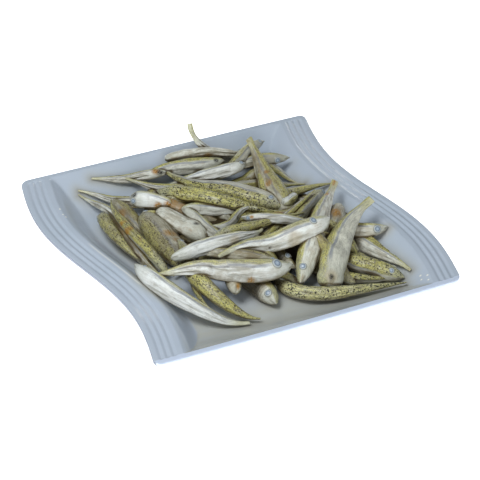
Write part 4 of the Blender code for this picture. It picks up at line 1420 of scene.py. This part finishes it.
class SILVERSIDES_OT_stage(bpy.types.Operator):
    """Make the floor, the lights and the camera"""

    bl_idname = "silversides.stage"
    bl_label = "Stage"

    def execute(self, context):
        settings = context.scene.silversides_stage
        half = FLOOR_HALF
        corners = [(-half, -half, 0.0), (half, -half, 0.0), (half, half, 0.0), (-half, half, 0.0)]
        floor = show("floor", mesh_from("floor", corners, [(0, 1, 2, 3)], smooth=False))
        mat, nodes, shader = new_material("floor")
        grain = nodes.noise(nodes.add("ShaderNodeTexCoord").outputs["Object"], 14.0, 2.0)
        pale = settings.floor_colour[:]
        nodes.put(shader.inputs["Base Color"], nodes.tint(grain, (*pale, 1.0), [0.98 * v for v in pale]))
        shader.inputs["Roughness"].default_value = 0.8
        shader.inputs["Emission Color"].default_value = pale + (1.0,)
        shader.inputs["Emission Strength"].default_value = settings.floor_glow
        floor.data.materials.append(mat)
        self.light_sky(context, settings.sky_strength)
        for name, looks in LIGHTS.items():
            self.add_light(name, getattr(settings, name + "_power"), *looks)
        self.add_camera(context)
        context.scene.view_settings.view_transform = "Standard"
        return {"FINISHED"}

    def light_sky(self, context, strength):
        """A pale bluish sky all round."""
        world = bpy.data.worlds.new("sky")
        context.scene.world = world
        world.use_nodes = True
        background = world.node_tree.nodes["Background"]
        background.inputs["Color"].default_value = SKY_COLOUR
        background.inputs["Strength"].default_value = strength

    def add_light(self, name, power, place, size, colour):
        """A square soft light that faces the plate."""
        data = bpy.data.lights.new(name, "AREA")
        data.shape = "SQUARE"
        data.size = size * MM
        data.energy = power
        data.color = colour
        light = show(name, data)
        light.location = Vector(place) * MM
        light.rotation_euler = (-light.location).to_track_quat("-Z", "Y").to_euler()

    def add_camera(self, context):
        """The camera at the photograph's viewing angle, tipped a little as it was held."""
        data = bpy.data.cameras.new("camera")
        data.lens = LENS
        data.sensor_width = 36.0
        data.clip_end = 20.0
        az, el = radians(AZIMUTH), radians(ELEVATION)
        ahead = Vector((-sin(az) * cos(el), cos(az) * cos(el), -sin(el)))
        right = ahead.cross(Vector((0.0, 0.0, 1.0))).normalized()
        up = right.cross(ahead)
        roll = radians(ROLL)
        turned_right = right * cos(roll) + up * sin(roll)
        turned_up = up * cos(roll) - right * sin(roll)
        camera = show("camera", data)
        axes = Matrix((turned_right, turned_up, -ahead)).transposed()
        place = (Vector(AIM) - ahead * DISTANCE) * MM
        camera.matrix_world = Matrix.Translation(place) @ axes.to_4x4()
        context.scene.camera = camera


class SILVERSIDES_PT_panel(bpy.types.Panel):
    """The plate's and the fish's operators and sizes"""

    bl_idname = "SILVERSIDES_PT_panel"
    bl_label = "Plate of Silversides"
    bl_space_type = "VIEW_3D"
    bl_region_type = "UI"
    bl_category = "Silversides"

    def draw(self, context):
        for operator in OPERATORS:
            self.layout.operator(operator.bl_idname)
        for group in ("silversides_plate", "silversides_fish", "silversides_stage"):
            settings = getattr(context.scene, group)
            box = self.layout.box()
            for name in settings.bl_rna.properties.keys():
                if name not in ("rna_type", "name"):
                    box.prop(settings, name)


OPERATORS = (SILVERSIDES_OT_plate, SILVERSIDES_OT_core, SILVERSIDES_OT_fish, SILVERSIDES_OT_stage)
GROUPS = {
    "silversides_plate": PlateSettings,
    "silversides_fish": FishSettings,
    "silversides_stage": StageSettings,
}


def register():
    for cls in (*GROUPS.values(), *OPERATORS, SILVERSIDES_PT_panel):
        bpy.utils.register_class(cls)
    for name, cls in GROUPS.items():
        setattr(bpy.types.Scene, name, bpy.props.PointerProperty(type=cls))


def unregister():
    for name in GROUPS:
        delattr(bpy.types.Scene, name)
    for cls in (SILVERSIDES_PT_panel, *reversed(OPERATORS), *reversed(GROUPS.values())):
        bpy.utils.unregister_class(cls)


def main():
    register()
    bpy.ops.silversides.plate()
    bpy.ops.silversides.core()
    bpy.ops.silversides.fish()
    bpy.ops.silversides.stage()


if __name__ == "__main__":
    main()
